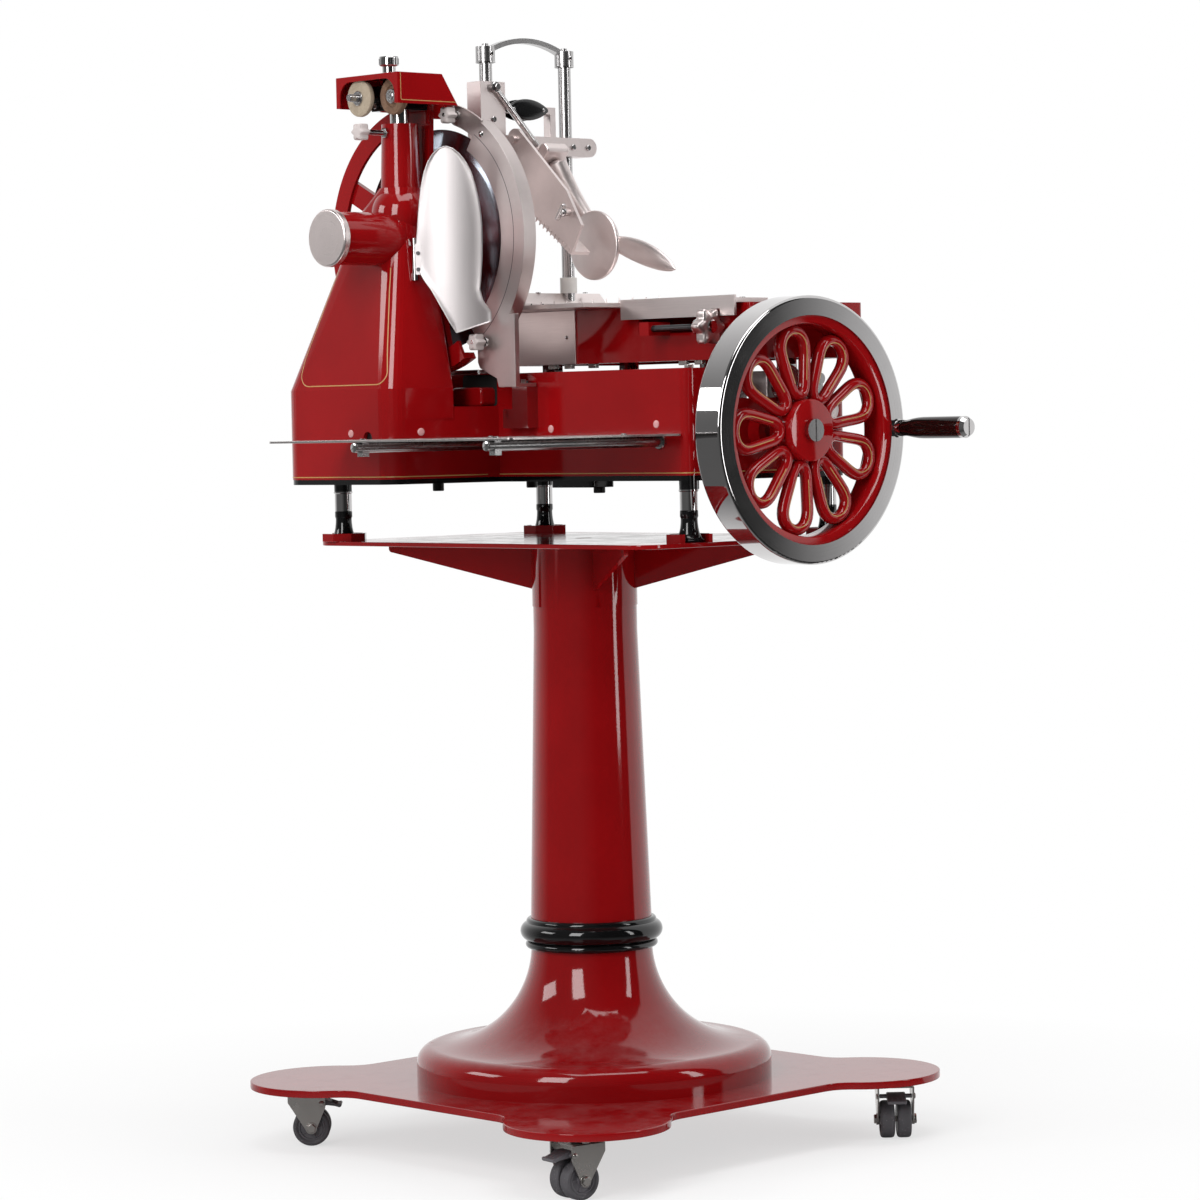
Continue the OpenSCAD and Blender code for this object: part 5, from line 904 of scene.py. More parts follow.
class SLICER_OT_feet(bpy.types.Operator):
    """Flared black feet under the machine and the nuts above them"""

    bl_idname = "slicer.feet"
    bl_label = "Feet"

    def execute(self, context):
        feet, rings = Shape(), Shape()
        top = BODY_Z - 12 - 27 - PLATE_TOP
        for x, y in FEET:
            profile = [(0, 0), (20.2, 0), (21, 0.8), (21, 2.8), (20.3, 3.6), (18.6, 4.4), (16.4, 6.6),
                (14.6, 9.8), (13.2, 14), (12.2, 19), (11.5, 25), (11.2, 31), (11.6, 33), (12.2, 34),
                (12.2, top - 1), (11.4, top), (0, top)]
            feet.lathe((x, y, PLATE_TOP), Z, profile, 56)
            rings.lathe((x, y, BODY_Z - 12), -Z, [(11.8, -0.4), (13.2, -0.4), (13.2, 1.6), (12.4, 2.4),
                (11.8, 2.4)], 48, closed=True)
        feet.made("flared_feet", "frame", "Black enamel", "black_enamel", sharp=32, replaces=("feet",))
        rings.made("sleeve_nuts", "frame", "Chrome", "chrome", sharp=30)
        return {"FINISHED"}


def base_outline(out):
    """The outline of the base at its foot, standing off by a distance."""
    r, b = 13, 30
    k = (TOWER_Y - JOIN_Y) / (BED_X - TOWER_X)
    n = hypot(1, k)
    cy = TOWER_Y - b * k + b * n
    tip = atan2(-1, -k) * 180 / pi + 360
    pts = arc(BASE_X1 - r, BASE_Y0 + r, r + out, -90, 0, 12)
    pts += arc(BASE_X1 - r, BASE_Y1 - r, r + out, 0, 90, 12)
    pts += arc(TOWER_X + b, BASE_Y1 - b, b + out, 90, 180, 12)
    pts += arc(TOWER_X + b, cy, b + out, 180, tip, 10)
    pts += [(BED_X - out, TOWER_Y - (BED_X - TOWER_X) * k - out * (n - k))]
    pts += arc(BED_X + r, BASE_Y0 + r, r + out, 180, 270, 8)
    return pts


class SLICER_OT_gold_lines(bpy.types.Operator):
    """Gold lines round the base, on the tower and on the hood"""

    bl_idname = "slicer.gold_lines"
    bl_label = "Gold lines"

    def execute(self, context):
        w = context.scene.slicer_paint.line_width / MM
        lines = Shape()
        band = [(-0.5, -w / 2), (0.5, -w / 2), (0.5, w / 2), (-0.5, w / 2)]
        lines.sweep([(x, y, CAST_Z + 3.5) for x, y in base_outline(-0.3)], band, closed=True, up=Z)
        # Panel on the tower's sloping face: it opens upwards, under the boss
        corner = 16

        def face(y, z):
            """A point of the tower's -X side with the direction that its surface faces."""
            t = min(1, max(0, (z - TOWER_STRAIGHT_Z) / TOWER_RISE))
            r, cx, low, high = 30 - 8 * t, -247 + 28 * t, 107 + 11 * t, 282 - 112 * t
            off = y - min(max(y, low), high)
            flat = sqrt(r * r - off * off)
            return Vector((cx - flat, y, z)), Vector((-flat / r, off / r, 0.15))

        path = [(105, 1214), (103, 1180), (100, 1140), (97, 1100)]
        path += [(94 + corner * (1 - cos(radians(t))), 1056 + corner * (1 - sin(radians(t))))
            for t in range(0, 91, 15)]
        path += [(y, 1056) for y in range(122, 242, 12)]
        path += [(255 + 17 * sin(radians(t)), 1073 - 17 * cos(radians(t))) for t in range(0, 91, 15)]
        path += [(267, 1095), (256, 1120), (245, 1145), (234, 1170), (224, 1192), (215, 1214)]
        placed = [face(y, z) for y, z in path]
        lines.sweep([spot[0] for spot in placed], line_section(w, 0.2), up=lambda i: placed[i][1])
        lines.made("base_gold_lines", "frame", "Gold line", "red_enamel")
        # Hood: a line down its open end and along its foot, on both sides
        x0, x1, z0, z1 = -265, -157, 1434, HOOD_TOP
        hood = Shape()
        for y, up in ((SHAFT_Y - 64.5, -Y), (SHAFT_Y + 64.5, Y)):
            ends = [(x0 + 5.5, z1 - 0.5), (x0 + 5.5, z0 + 6), (x0 + 7, z0 + 4.5), (x1 - 4, z0 + 4.5)]
            hood.sweep([(x, y, z) for x, z in ends], line_section(w * 0.8, 0.2), up=up)
        hood.made("hood_gold_lines", "sharpener", "Gold line", "red_enamel")
        return {"FINISHED"}


class SLICER_OT_base_details(bpy.types.Operator):
    """Screw plugs, bottom pan, rubber stops and the small pieces at the foot of the tower"""

    bl_idname = "slicer.base_details"
    bl_label = "Base details"

    def execute(self, context):
        plugs = Shape()
        k = (TOWER_Y - JOIN_Y) / (BED_X - TOWER_X)
        slant = Vector((-k, -1, 0)).normalized()
        for at, way in (((TOWER_X, 165, 990), -X), ((-230.7, 72.6, 990.7), slant), ((BED_X, -59, 991), -X),
                ((BED_X, -263, 995), -X)):
            plugs.lathe(Vector(at) - Vector(way) * 0.4, way,
                [(0, 0), (5.2, 0), (5.2, 0.8), (4.6, 1.4), (2.4, 1.9), (0, 2.0)], 32)
        plugs.made("screw_plugs", "frame", "Clouded plastic", "white_plastic", sharp=30)
        pan, stops = Shape(), Shape()
        inside = along(base_outline(-9.5), 14)
        pan.plate((0, 0, BODY_Z + 2), Z, [(p.x, p.y) for p in inside], 1.5, side=X)
        pan.block((-92, -116, 911), (-48, -34, BODY_Z + 3), 6)
        pan.made("bottom_pan", "frame", "Black enamel", "black_enamel", soft=0.8)
        for x, y in ((-60, 234), (-60, -97), (120, 234), (120, -97)):
            foot = 906 if y > 0 else 903
            stops.lathe((x, y, foot), Z, [(0, 0), (7, 0), (8, 1), (8, BODY_Z + 2.2 - foot),
                (0, BODY_Z + 2.2 - foot)], 32)
        stops.made("rubber_stops", "frame", "Black rubber", "black_enamel", sharp=30)
        # The well beside the blade: a near-black plate of painted shade for its opening, a rounded block in
        # it and a bright strip over it
        well, block, strip = Shape(), Shape(), Shape()
        well.block((BED_X - 0.5, 48, LEDGE_Z + 0.2), (BED_X + 2, 118, BED_Z - 1), 5, axis=0)
        well.made("well_shadow", "frame", "Dark opening", "black_enamel")
        block.block((BED_X - 26, 52, LEDGE_Z - 0.2), (BED_X + 2, 114, 1050), 7, axis=0)
        block.made("well_block", "frame", "Red enamel", "red_enamel", soft=3, steps=3)
        strip.block((BED_X - 34, 47, BED_Z - 0.3), (BED_X + 22, 118, BED_Z + 6), 3)
        strip.made("well_strip", "frame", "Polished steel", "polished_steel", soft=0.8)
        # Bearing screw in front and bolt heads on the deck
        heads = Shape()
        heads.slotted((WHEEL_X - 12, BASE_Y0 - 20.2, WHEEL_Z - 16), -Y, 3.2, 2.6, 1.0, 0.5)
        for x, y in ((-86, -300), (-86, 292), (170, -290), (170, 290)):
            z = BED_Z if x < 0 else 1027
            heads.hexagon((x, y, z - 0.2), Z, 11, 5)
        heads.made("deck_bolts", "frame", "Zinc plate", "zinc_steel", soft=0.3)
        return {"FINISHED"}


class SLICER_OT_guard(bpy.types.Operator):
    """Rivet and joint line of the guard, the deflector with its hinge, and the ground blade"""

    bl_idname = "slicer.guard"
    bl_label = "Guard, deflector and blade"

    def execute(self, context):
        groove, rivets = Shape(), Shape()
        # Joint between the inner and the outer strip of the guard
        path = [(GUARD_X - 0.02, SHAFT_Y + y, SHAFT_Z + z) for y, z in arc(0, 0, 166, 123, 237, 60)]
        groove.sweep(path, [(-0.45, -0.3), (0.45, -0.3), (0.45, 0.12), (-0.45, 0.12)], up=-X)
        groove.made("guard_joint_line", "frame", "Oiled steel", "cast_aluminium")
        out, a = 174, radians(127)
        rivets.lathe((GUARD_X + 0.3, SHAFT_Y + out * cos(a), SHAFT_Z + out * sin(a)), -X,
            [(0, 0), (4.6, 0), (4.6, 0.6), (3.9, 1.7), (2.2, 2.4), (0, 2.6)], 32)
        rivets.hexagon((-119, STAND_Y + 17, STAND_Z + 5), Z, 10, 3.6)
        rivets.made("guard_rivets", "frame", "Polished steel", "polished_steel", sharp=30)

        # Deflector: a bright sheet, bowed and turned outwards at its rim
        w, h, bend, thick = 94, 252, 130, 1.6
        side = [(0.6, 0, 0.6), (0.5, 0.055, 1.1), (0.42, 0.11, 1.1), (0.33, 0.17, 0.99),
            (0.24, 0.23, 0.952), (0.12, 0.29, 0.972), (0.04, 0.345, 0.985), (0.012, 0.40, 0.995),
            (0.012, 0.46, 1.0), (0.03, 0.52, 1.0), (0.05, 0.58, 1.0), (0.066, 0.65, 0.985),
            (0.09, 0.72, 0.96), (0.12, 0.795, 0.915), (0.165, 0.865, 0.86), (0.225, 0.92, 0.785),
            (0.3, 0.96, 0.7), (0.385, 0.986, 0.61), (0.49, 1.0, 0.5)]
        cy = sqrt(bend * bend - w * w / 4)
        turn = Matrix.Translation((HINGE_X, HINGE_Y, HINGE_Z)) @ Matrix.Rotation(radians(-50), 4, "Z")
        sheet = Shape(turn)
        rows, columns = [], 22
        levels = along([Vector((a, z, b)) for a, z, b in side], 0.022, closed=False)
        for a, z, b in levels:
            row = []
            for c in range(columns + 1):
                t = c / columns
                x = (a + (b - a) * t) * w
                y = cy - sqrt(max(bend * bend - (x - w / 2) ** 2, 0))
                lip = max(0, abs(2 * t - 1) - 0.72) / 0.28
                y -= 2.2 * lip ** 2
                row.append((x, y, z * h))
            rows.append(row)
        bm = sheet.bm
        grid = [[bm.verts.new(sheet.place @ Vector(p)) for p in row] for row in rows]
        for r0, r1 in zip(grid, grid[1:]):
            for c in range(columns):
                bm.faces.new((r0[c], r0[c + 1], r1[c + 1], r1[c]))
        made = sheet.made("deflector_sheet", "deflector", "Bright sheet", "blade_steel", sharp=60)
        thickness = made.modifiers.new("Thickness", "SOLIDIFY")
        thickness.thickness = thick * MM
        thickness.offset = 0
        smooth = made.modifiers.new("Smooth", "SUBSURF")
        smooth.levels = smooth.render_levels = 1
        # The barrel of the hinge and its leaf
        zc = HINGE_Z + h * 0.4
        barrel = Shape()
        barrel.lathe((HINGE_X, HINGE_Y, zc - 18.9), Z, tube(2.1, 4, 37.8), 28, closed=True)
        leaf = Shape(turn)
        leaf.block((1.5, -4.8, h * 0.4 - 21), (9.5, -3.4, h * 0.4 + 21), 1.5, axis=1)
        pins = Shape(turn)
        for dz in (-14, 8):
            pins.slotted((5.5, -4.6, h * 0.4 + dz), -Y, 2.8, 1.4, 0.9, 0.9)
        pins.made("hinge_screws", "deflector", "Oiled steel", "chain_steel", sharp=30)
        barrel.made("hinge_barrel", "deflector", "Polished steel", "blade_steel", sharp=30,
            replaces=("slice_deflector",))
        leaf.made("hinge_leaf", "deflector", "Bright sheet", "blade_steel", sharp=30)
        # Blade: a flat face, a hollow ground bevel and its hub
        back = [(9, 0), (151.4, 0), (151.6, 0.25), (9, 0.25)]
        Shape().lathe((BLADE_X, SHAFT_Y, SHAFT_Z), -X, back, 180, closed=True).made(
            "blade_back", "blade", "Turned cap", "blade_steel", sharp=20)
        face = [(9, 0.25), (151.6, 0.25), (152, 0.4), (151.9, 0.9), (149, 1.05), (145, 1.35), (140, 1.9),
            (135, 2.6), (130, 3.4), (126.5, 4.0), (125.6, 4.1), (80, 4.1), (36, 4.1), (34.4, 4.4),
            (34, 5.2), (34, 11.2), (33.2, 12), (9, 12)]
        Shape().lathe((BLADE_X, SHAFT_Y, SHAFT_Z), -X, face, 180, closed=True).made(
            "ground_blade", "blade", "Blade steel", "blade_steel", sharp=20, replaces=("blade",))
        return {"FINISHED"}


class SLICER_OT_knobs(bpy.types.Operator):
    """Lobed knobs of the guard, the post and the table feed"""

    bl_idname = "slicer.knobs"
    bl_label = "Lobed knobs"

    def execute(self, context):
        lobes = context.scene.slicer_sizes.lobes
        knobs, studs = Shape(), Shape()

        def knob(shape, at, way, radius, thick, deep):
            scale = lambda k: [(u * k, v * k) for u, v in lobed(radius, lobes, deep)]
            shape.layers(at, way, [(scale(0.86), 0), (scale(0.97), thick * 0.06), (scale(1), thick * 0.16),
                (scale(1), thick * 0.78), (scale(0.97), thick * 0.9), (scale(0.88), thick * 0.98),
                (scale(0.6), thick)])

        out, upper, lower = 176, radians(108), radians(718 / 3 - 5)
        for a in (upper, lower):
            y, z = SHAFT_Y + out * cos(a), SHAFT_Z + out * sin(a)
            knob(knobs, (GUARD_X - 7, y, z), -X, 12.5, 16, 0.3)
            studs.lathe((GUARD_X + 0.3, y, z), -X, [(0, 0), (7.4, 0), (7.4, 2.2), (3.5, 2.4), (3.5, 7.6),
                (0, 7.6)], 32)
            studs.lathe((GUARD_X - 22.8, y, z), -X, [(0, 0), (3.2, 0), (2.8, 0.5), (0, 0.7)], 24)
        knob(knobs, (NECK_X - 62, SHAFT_Y, NECK_TOP - 12.5), -X, 12.5, 16, 0.3)
        studs.lathe((NECK_X - 62.4, SHAFT_Y, NECK_TOP - 12.5), X, rod(3.5, 40), 24)
        studs.hexagon((NECK_X - 25.5, SHAFT_Y, NECK_TOP - 12.5), -X, 13, 4.5)
        knobs.made("lobed_knobs", "frame", "Pale plastic", "polished_steel", sharp=50,
            replaces=("star_knobs",))
        studs.made("knob_studs", "frame", "Polished steel", "polished_steel", soft=0.2)

        # Feed knob: a flat polished face, a round neck and a cut screw
        feed, neck, screw = Shape(), Shape(), Shape()
        at = Vector(FEED_KNOB)
        knob(feed, at, -Y, 26, 16, 0.3)
        neck.lathe(at - Y * 0.5, Y, [(0, 0), (13, 0), (13, 2), (10.4, 4), (10.4, 13), (9.4, 14.5),
            (4.4, 14.5), (0, 14.5)], 48)
        neck.lathe(at - Y * 16.4, -Y, [(0, 0), (8.5, 0), (8.5, 0.9), (7.6, 1.5), (0, 1.6)], 40)
        start, end = at.y + 14, -212
        screw.lathe((at.x, start, at.z), Y, rod(4.0, end - start), 32)
        screw.lathe((at.x, end - 1, at.z), Y, rod(4.5, 22), 32)
        pitch = context.scene.slicer_sizes.screw_pitch / MM
        turns = int((end - start - 2) / pitch)
        helix = [(at.x + 4.0 * cos(t), start + 1 + pitch * t / (2 * pi), at.z + 4.0 * sin(t))
            for t in (2 * pi * i / 14 for i in range(turns * 14))]
        screw.sweep(helix, [(-0.8, 0), (0, 0.75), (0.8, 0)])
        feed.made("feed_knob_head", "feed_knob", "Satin guard", "polished_steel", sharp=50,
            replaces=("feed_knob",))
        neck.made("feed_knob_neck", "feed_knob", "Chrome", "chrome", sharp=30)
        screw.made("feed_screw", "feed_knob", "Oiled steel", "polished_steel", sharp=30)
        return {"FINISHED"}


class SLICER_OT_sharpener(bpy.types.Operator):
    """Stones, spindles and screws under the hood, and the top knob"""

    bl_idname = "slicer.sharpener"
    bl_label = "Sharpener"

    def execute(self, context):
        first, second, spindles = Shape(), Shape(), Shape()
        face = [(5, -4.5), (22.5, -4.5), (24.6, -3.2), (25, -2.2), (25, 2.2), (24.6, 3.2), (22.5, 4.5),
            (12.5, 4.5), (11.5, 3.6), (5, 3.6)]
        first.lathe((*TAN_STONE, STONE_Z), X, face, 72, closed=True)
        cup = [(5, 4.5), (24.2, 4.5), (25, 3.6), (25, -3.6), (24.2, -4.5), (17.5, -4.5), (15.5, -3.5),
            (14.5, -1.0), (5, -1.0)]
        second.lathe((*BROWN_STONE, STONE_Z), X, cup, 72, closed=True)
        first.made("stone_front", "sharpener", "Tan stone", "stone", sharp=35, replaces=("stones",))
        second.made("stone_back", "sharpener", "Brown stone", "stone", sharp=35)
        end = NECK_X - 25 + 0.3
        for x, y, out in ((*TAN_STONE, 22), (*BROWN_STONE, 5)):
            spindles.lathe((x - out, y, STONE_Z), X, [(0, 0), (4.2, 0), (5, 0.8), (5, end - x + out),
                (0, end - x + out)], 32)
            spindles.lathe((x - 7.2, y, STONE_Z), X, [(5, 0), (9.2, 0), (10, 0.8), (10, 2.8), (5, 2.8)], 40,
                closed=True)
            spindles.lathe((x + 4.4, y, STONE_Z), X, [(5, 0), (11, 0), (11, 3), (9, 4.5), (5, 4.5)], 40,
                closed=True)
            for k in range(int((out - 8) / 2)):
                spindles.lathe((x - out + 1.5 + 2 * k, y, STONE_Z), X, [(5, 0), (5.5, 0.5), (5, 1.0)], 28,
                    closed=True)
        spindles.slotted((BROWN_STONE[0] - 5.2, BROWN_STONE[1], STONE_Z), -X, 5.6, 3, 1.3, 0.6)
        # Screws of the frame and of the hood
        for y in (110, 150):
            spindles.slotted((-231.8, y, 1436), -X, 3.6, 2.6, 0.9, 0.4)
        spindles.lathe((-180.5, SHAFT_Y - 40, 1469.2), Vector((0.83, 0, 0.56)),
            [(0, -1), (4.6, -1), (4.6, 2), (3.4, 3.4), (0, 3.8)], 24)
        spindles.made("stone_spindles", "sharpener", "Polished steel", "polished_steel", sharp=35)
        top = Shape()
        grip = [(0, 0), (9.3, 0), (9.3, 12.6), (10.6, 13.2), (12.6, 13.8), (13.4, 15), (13.4, 24.8),
            (12.4, 26.2), (0, 26.3)]
        top.lathe((POST_X, SHAFT_Y, HOOD_TOP), Z, grip, 60)
        top.lathe((POST_X, SHAFT_Y, HOOD_TOP - 0.2), Z,
            [(0, 0), (14.5, 0), (14.5, 1.6), (13.6, 2.2), (0, 2.2)], 48)
        for k in range(30):
            a = 2 * pi * k / 30
            out = Vector((cos(a), sin(a), 0))
            rib = Vector((POST_X, SHAFT_Y, HOOD_TOP + 15.5)) + out * 13.2
            side = Vector((-out.y, out.x, 0)) * 0.55
            ring = [rib - side, rib + out * 0.5, rib + side]
            top.skin([ring, [p + Z * 8 for p in ring]])
        top.made("sharpener_top_knob", "sharpener", "Chrome", "chrome", sharp=30)
        return {"FINISHED"}


class SLICER_OT_press(bpy.types.Operator):
    """Grip pads, screws, tie, slots and teeth of the press"""

    bl_idname = "slicer.press"
    bl_label = "Press"

    def execute(self, context):
        pads, screws, slots = Shape(), Shape(), Shape()
        xm, half, high = (ROD_X[0] + 23 + 41) / 2, 42, 15
        radius = (half * half + high * high) / (2 * high)
        reach = acos((radius - high) / radius) * 180 / pi
        lens = arc(0, high - radius, radius, 90 - reach, 90 + reach, 14)[:-1]
        lens += arc(0, radius - high, radius, -90 - reach, -90 + reach, 14)[:-1]
        lens = [tuple(p) for p in rounded(lens, 3, 1)]
        for way, y in ((-Y, ROD_Y - 7), (Y, ROD_Y + 7)):
            grow = lambda k, lift: ([(u * (1 - (1 - k) * 0.45), v * k) for u, v in lens], lift)
            pads.layers((xm, y - way.y * 0.1, PAD_Z), way, [grow(0.97, 0), grow(1.0, 0.8), grow(0.98, 2.6),
                grow(0.88, 4.4), grow(0.66, 5.5), grow(0.3, 6.0)], side=X)
            for dx in (-28, 28):
                screws.lathe((xm + dx, y + way.y * 5.2, PAD_Z), way,
                    [(0, 0), (2.6, 0), (2.6, 0.6), (1.8, 1.2), (0, 1.4)], 24)
        pads.made("grip_pads", "press", "Black plastic", "black_plastic", sharp=50,
            replaces=("press_pads",))
        # Lock screws on the slider and the side bar, and the slanted tie
        screws.lathe((SLIDER_X, ROD_Y - 13.8, LOCK_Z), -Y,
            [(0, 0), (7.5, 0), (7.5, 7.5), (6.6, 8.2), (0, 8.2)], 32)
        screws.hexagon((SLIDER_X, ROD_Y - 21.8, LOCK_Z), -Y, 9, 4)
        screws.slotted((SLIDER_X, ROD_Y - 14.2, 1420), -Y, 4, 2.6, 1.0, 0.9)
        tie = [Vector((SLIDER_X, ROD_Y - 17, LOCK_Z)), Vector((4, ROD_Y - 18, SIDE_BAR_Z))]
        screws.sweep([tie[0].lerp(tie[1], i / 8) for i in range(9)], oval(4.4, 4.4, 20), up=-Y)
        screws.slotted((ROD_X[1], ROD_Y - 15.2, SIDE_BAR_Z), -Y, 4, 2.6, 1.0, 0.4)
        screws.slotted((105, ROD_Y - 15.2, SIDE_BAR_Z), -Y, 4, 2.6, 1.0, 1.2)
        screws.made("press_screws", "press", "Polished steel", "polished_steel", sharp=30)
        # Slots of the press: thin near-black plates that paint the shade inside them
        for x in (40, 52, 98, 108):
            slots.block((x - 1.6, ROD_Y - 9, 1398.9), (x + 1.6, ROD_Y + 9, 1399.15), 1.5)
        slots.block((SLIDER_X - 8, ROD_Y - 13, 1471.9), (SLIDER_X + 8, ROD_Y - 10.5, 1472.15), 1)
        slots.made("press_slots", "press", "Dark opening", "cast_aluminium")
        # Wing screw and teeth of the press plate
        tilt = Matrix.Translation(PRESS_PIVOT) @ Matrix.Rotation(radians(38), 4, "X")
        tilt = tilt @ Matrix.Diagonal((1, -1, 1, 1))
        wing = Shape(tilt)
        wing.lathe((-9.7, 149, -18), -X, [(0, 0), (6.5, 0), (6.5, 4), (5, 6), (0, 6)], 32)
        wing.block((-19, 147.2, -31), (-11, 150.8, -5), 3.5, axis=1)
        teeth = Shape(tilt)
        for i in range(11):
            teeth.lathe((1.5, 92 + i * 8.8, -60 + i * 0.45), -Z,
                [(0, 0), (2.6, 0), (2.2, 3), (0.7, 8), (0, 8.2)], 16)
        teeth.made("press_teeth", "press_plate", "Satin casting", "cast_aluminium", sharp=30)
        wing.made("wing_screw", "press_plate", "Polished steel", "polished_steel", soft=0.6)
        # Set screws on the rod caps
        caps = Shape()
        for x in ROD_X:
            caps.lathe((x, ROD_Y - 13.3, CAP_Z), -Y, [(0, 0), (3.2, 0), (3.2, 1), (2.4, 1.8), (0, 2)], 24)
            caps.lathe((x, ROD_Y, CAP_FOOT), Z, tube(13.2, 14.1, 1.2), 48, closed=True)
        caps.made("rod_cap_screws", "table", "Chrome", "chrome", sharp=30)
        return {"FINISHED"}


class SLICER_OT_pusher(bpy.types.Operator):
    """Clamp block, arm, disc and leaf handle of the pusher"""

    bl_idname = "slicer.pusher"
    bl_label = "Pusher"

    def execute(self, context):
        body = Shape()
        # Clamp block on its pivot
        tilt = Matrix.Translation(PUSHER_PIVOT) @ Matrix.Rotation(radians(45), 4, "X")
        block = Shape(tilt)
        block.block((-21, -9, -27), (21, 8, 26), 5, axis=0)
        block.made("pusher_clamp", "pusher", "Satin casting", "cast_aluminium", soft=2.2, steps=3)
        # Arm: a flattened bar that narrows towards the disc
        top, foot = Vector((9, 50, 1356)), Vector((31.5, -4, 1262))
        steps = 16
        path = [top.lerp(foot, i / steps) + Y * 5 * sin(pi * i / steps)
            for i in range(steps + 1)]
        bar = lambda i: [(u, v) for u, v in oval(18 - 7 * i / steps, 14 - 4.5 * i / steps, 20)]
        body.sweep(path, bar, up=X)
        body.lathe(path[0], path[0] - path[1], [(0, 7), (7, 6.2), (12, 3), (14, -3), (0, -3)], 32)
        body.lathe((21.5, DISC_Y, DISC_Z), X, [(0, 0), (24, 0), (20, 4), (13, 8), (6, 10), (0, 10.4)], 48)
        # Disc with a rounded edge
        disc = [(0, 0), (45.6, 0), (47.2, 0.7), (48, 2.2), (48, 4.8), (47.2, 6.3), (45.4, 7), (0, 7)]
        plate = Shape().lathe((16, DISC_Y, DISC_Z), X, disc, 96)
        plate.made("pusher_disc", "pusher", "Satin casting", "cast_aluminium", sharp=50)
        # Leaf handle
        start = Vector((23.5, DISC_Y - 30.4, DISC_Z + 3))
        way = Vector((0, -cos(radians(19)), -sin(radians(19))))
        leaf, count = [], 22
        for i in range(count + 1):
            t = i / count
            p = start + way * 130 * t + Z * (3.5 * sin(pi * t))
            wide = 19 * (sin(pi * min(1, 0.16 + t * 0.84)) ** 0.62) * (0.72 + 0.28 * t) if t < 1 else 0.5
            leaf.append((p, max(wide, 0.8), max(6.2 * (1 - t ** 5) ** 0.5 * (0.75 + 0.25 * sin(pi * t)),
                0.6)))
        body.sweep([l[0] for l in leaf], lambda i: oval(leaf[i][1], leaf[i][2], 20), up=X)
        body.made("pusher_arm", "pusher", "Satin casting", "cast_aluminium", sharp=60, replaces=("pusher",))
        return {"FINISHED"}


class SLICER_OT_table(bpy.types.Operator):
    """Slots of the back bar, rivets of the end plate and screws of the carriage"""

    bl_idname = "slicer.table"
    bl_label = "Table details"

    def execute(self, context):
        slots, rivets, trim = Shape(), Shape(), Shape()
        # Slots on the sloping corner of the back bar: thin near-black strips that paint the shade inside
        # them
        y0, z0 = 88, TABLE_TOP
        for k in range(9):
            x = -96 + k * 22
            slots.block((x - 1.2, y0 - 0.15, z0 + 1.5), (x + 1.2, y0 + 0.4, z0 + 6.5), 0)
        for x in range(-100, 120, 20):
            slots.block((x - 5, y0 - 14.6, z0), (x + 5, y0 - 13.4, z0 + 0.12), 0)
        slots.made("table_slots", "table", "Dark opening", "cast_aluminium")
        for y in (-9, 100):
            rivets.lathe((CAR_X0 - 2.5, y, 1116), -X,
                [(0, -0.2), (2.8, -0.2), (2.4, 0.9), (1.3, 1.5), (0, 1.7)], 24)
        rivets.made("end_plate_rivets", "carriage", "Polished steel", "polished_steel", sharp=30)
        for y in (-330, -215, -150):
            trim.slotted((-14, y, TABLE_TOP), Z, 4.2, 1.6, 1.0, 0.6)
        for x in (-60, 20, 100):
            trim.slotted((x, 104 if x == 20 else 92.5, BAR_TOP), Z, 3.6, 1.4, 0.9, 1.1)
        trim.made("table_screws", "table", "Polished steel", "polished_steel", sharp=30)
        # Guide lugs seen between carriage and base
        lugs = Shape()
        for y in (-266, -236, -60, -12, 20):
            lugs.block((CAR_X0 + 2, y, CAR_Z0 - 6), (CAR_X0 + 9, y + 14, CAR_Z0 + 0.3), 0)
        lugs.made("carriage_lugs", "carriage", "Zinc plate", "zinc_steel", soft=0.4)
        return {"FINISHED"}


class SLICER_OT_dial(bpy.types.Operator):
    """Knurled head and marks of the thickness dial, and the ribs of its housing"""

    bl_idname = "slicer.dial"
    bl_label = "Thickness dial"

    def execute(self, context):
        at = Vector(DIAL)
        head, marks, fixed = Shape(), Shape(), Shape()
        head.lathe(at, Y, [(0, 0.6), (20.5, 0.6), (21.2, 0), (24.2, 0), (25, 0.8), (25, 11.2), (24.2, 12),
            (5, 12), (4.5, 14), (0, 14)], 72)
        for k in range(60):
            out, side = spoke(2 * pi * k / 60)
            ridge = [at + out * 24.8 - side * 0.8, at + out * 25.4, at + out * 24.8 + side * 0.8]
            head.skin([[p + Y * 3 for p in ridge], [p + Y * 10 for p in ridge]])
        head.lathe(at + Y * 13.5, Y, rod(4.5, 16), 28)
        for k in range(20):
            out, side = spoke(pi / 2 - 2 * pi * k / 20)
            near = 13.5 if k % 5 == 0 else 16
            bar = [at + out * r + side * s for r, s in ((near, -0.35), (19.5, -0.35), (19.5, 0.35),
                (near, 0.35))]
            marks.skin([[p + Y * 0.45 for p in bar], [p + Y * 0.9 for p in bar]])
        head.made("dial_head", "dial", "Polished steel", "polished_steel", sharp=30,
            replaces=("thickness_dial",))
        marks.made("dial_marks", "dial", "Black enamel", "black_plastic")
        # Ribs of the housing and its screws
        for k in range(4):
            x = DIAL[0] - 18 + k * 12
            fixed.block((x - 1.5, -312.5, 1034), (x + 1.5, -310.5, 1060), 0)
        fixed.lathe((150, -333.2, 1010), -Y, [(0, 0), (9, 0), (9, 1.2), (8, 2), (0, 2)], 40)
        fixed.slotted((150, -335, 1010), -Y, 4, 2.2, 1.1, 0.8)
        fixed.made("dial_housing_ribs", "frame", "Satin casting", "cast_aluminium", soft=0.4)
        return {"FINISHED"}


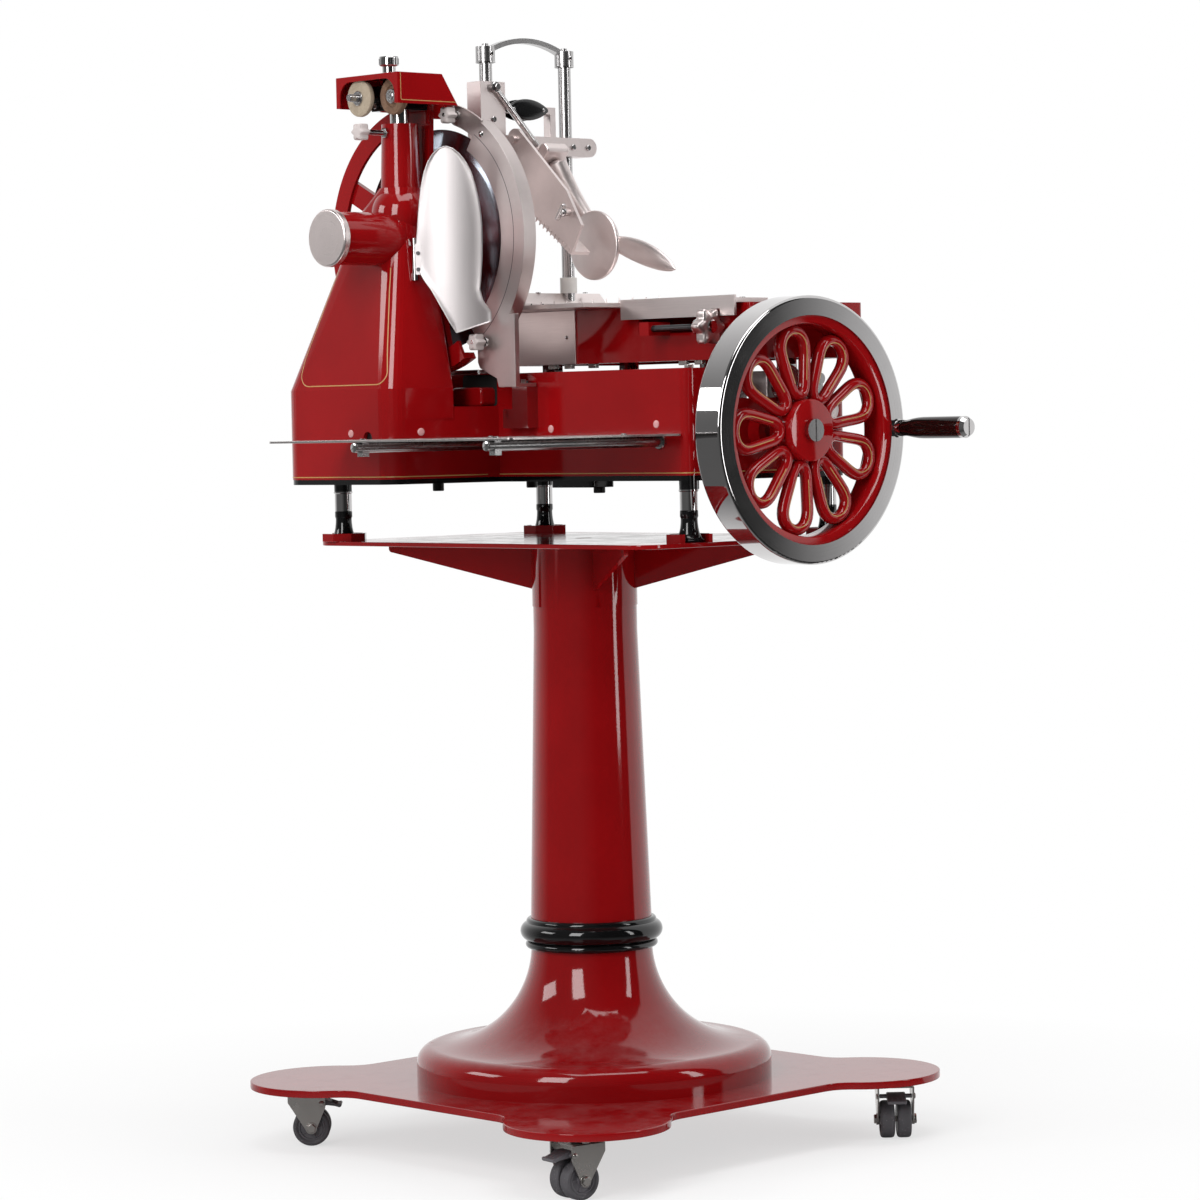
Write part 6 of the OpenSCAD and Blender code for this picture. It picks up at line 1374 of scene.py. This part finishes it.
class SLICER_OT_tray(bpy.types.Operator):
    """Clamp screws, arm collars and screws of the tray"""

    bl_idname = "slicer.tray"
    bl_label = "Tray"

    def execute(self, context):
        screws = Shape()
        for y in ARM_ENDS:
            screws.slotted((-420.8, y, ARM_Z), -X, 6.2, 2.4, 1.3, 0.5)
            screws.lathe((BED_X - 0.2, y, ARM_Z), -X,
                [(0, 0), (10.5, 0), (10.5, 4), (9.5, 5.5), (0, 5.5)], 40)
            for x in (-180, -406):
                screws.slotted((x, y, TRAY_TOP), Z, 4.4, 1.8, 1.1, 0.9)
        screws.made("tray_screws", "frame", "Chrome", "chrome", sharp=30)
        return {"FINISHED"}


class SLICER_OT_chain(bpy.types.Operator):
    """Roller chain inside the tower"""

    bl_idname = "slicer.chain"
    bl_label = "Drive chain"

    def execute(self, context):
        x, low, high = CHAIN_X, (SHAFT_Y, WHEEL_Z, 28.5), (SHAFT_Y, SHAFT_Z, 18.5)
        lean = acos((low[2] - high[2]) / (high[1] - low[1])) * 180 / pi
        loop = arc(*low, 90 + lean, 450 - lean, 24) + arc(*high, 90 - lean, 90 + lean, 12)
        loop = [Vector(p) for p in loop]
        pins = along(loop, context.scene.slicer_sizes.chain_pitch / MM)
        if len(pins) % 2:
            total = sum((pins[i] - pins[i - 1]).length for i in range(len(pins)))
            pins = along(loop, total / (len(pins) + 1))
        chain = Shape()
        for i, p in enumerate(pins):
            q = pins[(i + 1) % len(pins)]
            chain.lathe((x - 4.5, p.x, p.y), X, rod(1.3, 9), 12)
            chain.lathe((x - 2.2, p.x, p.y), X, rod(2.6, 4.4), 16)
            a = atan2(q.y - p.y, q.x - p.x) * 180 / pi
            link = arc(q.x, q.y, 3.2, a - 90, a + 90, 6) + arc(p.x, p.y, 3.2, a + 90, a + 270, 6)
            for s in (-1, 1):
                off = (4.2 if i % 2 else 3.1) * s
                chain.skin([[(x + off - 0.5, u, v) for u, v in link],
                    [(x + off + 0.5, u, v) for u, v in link]])
        chain.block((x + 4, 99.5, 1109), (-188.2, 116, 1127), 0)
        chain.made("roller_chain", "frame", "Oiled steel", "chain_steel", sharp=35,
            replaces=("drive_chain",))
        return {"FINISHED"}


class SLICER_PT_panel(bpy.types.Panel):
    bl_idname = "SLICER_PT_panel"
    bl_label = "Flywheel slicer"
    bl_space_type = "VIEW_3D"
    bl_region_type = "UI"
    bl_category = "Slicer"

    def draw(self, context):
        for group in ("slicer_paint", "slicer_metal", "slicer_sizes", "slicer_studio"):
            settings = getattr(context.scene, group)
            for key in settings.__annotations__:
                self.layout.prop(settings, key)
        for operator in OPERATORS:
            self.layout.operator(operator.bl_idname)


SETTINGS = {"slicer_paint": SlicerPaint, "slicer_metal": SlicerMetal, "slicer_sizes": SlicerSizes,
    "slicer_studio": SlicerStudio}
OPERATORS = [SLICER_OT_stage, SLICER_OT_finishes, SLICER_OT_flywheel, SLICER_OT_crank, SLICER_OT_casters,
    SLICER_OT_feet, SLICER_OT_gold_lines, SLICER_OT_base_details, SLICER_OT_guard, SLICER_OT_knobs,
    SLICER_OT_sharpener, SLICER_OT_press, SLICER_OT_pusher, SLICER_OT_table, SLICER_OT_dial, SLICER_OT_tray,
    SLICER_OT_chain]


def register():
    for kind in [*SETTINGS.values(), *OPERATORS, SLICER_PT_panel]:
        bpy.utils.register_class(kind)
    for name, kind in SETTINGS.items():
        setattr(bpy.types.Scene, name, PointerProperty(type=kind))


def unregister():
    for name in SETTINGS:
        delattr(bpy.types.Scene, name)
    for kind in reversed([*SETTINGS.values(), *OPERATORS, SLICER_PT_panel]):
        bpy.utils.unregister_class(kind)


def main():
    register()
    for operator in OPERATORS:
        group, name = operator.bl_idname.split(".")
        if getattr(getattr(bpy.ops, group), name)() != {"FINISHED"}:
            raise RuntimeError("operator did not finish: " + operator.bl_idname)


if __name__ == "__main__":
    main()
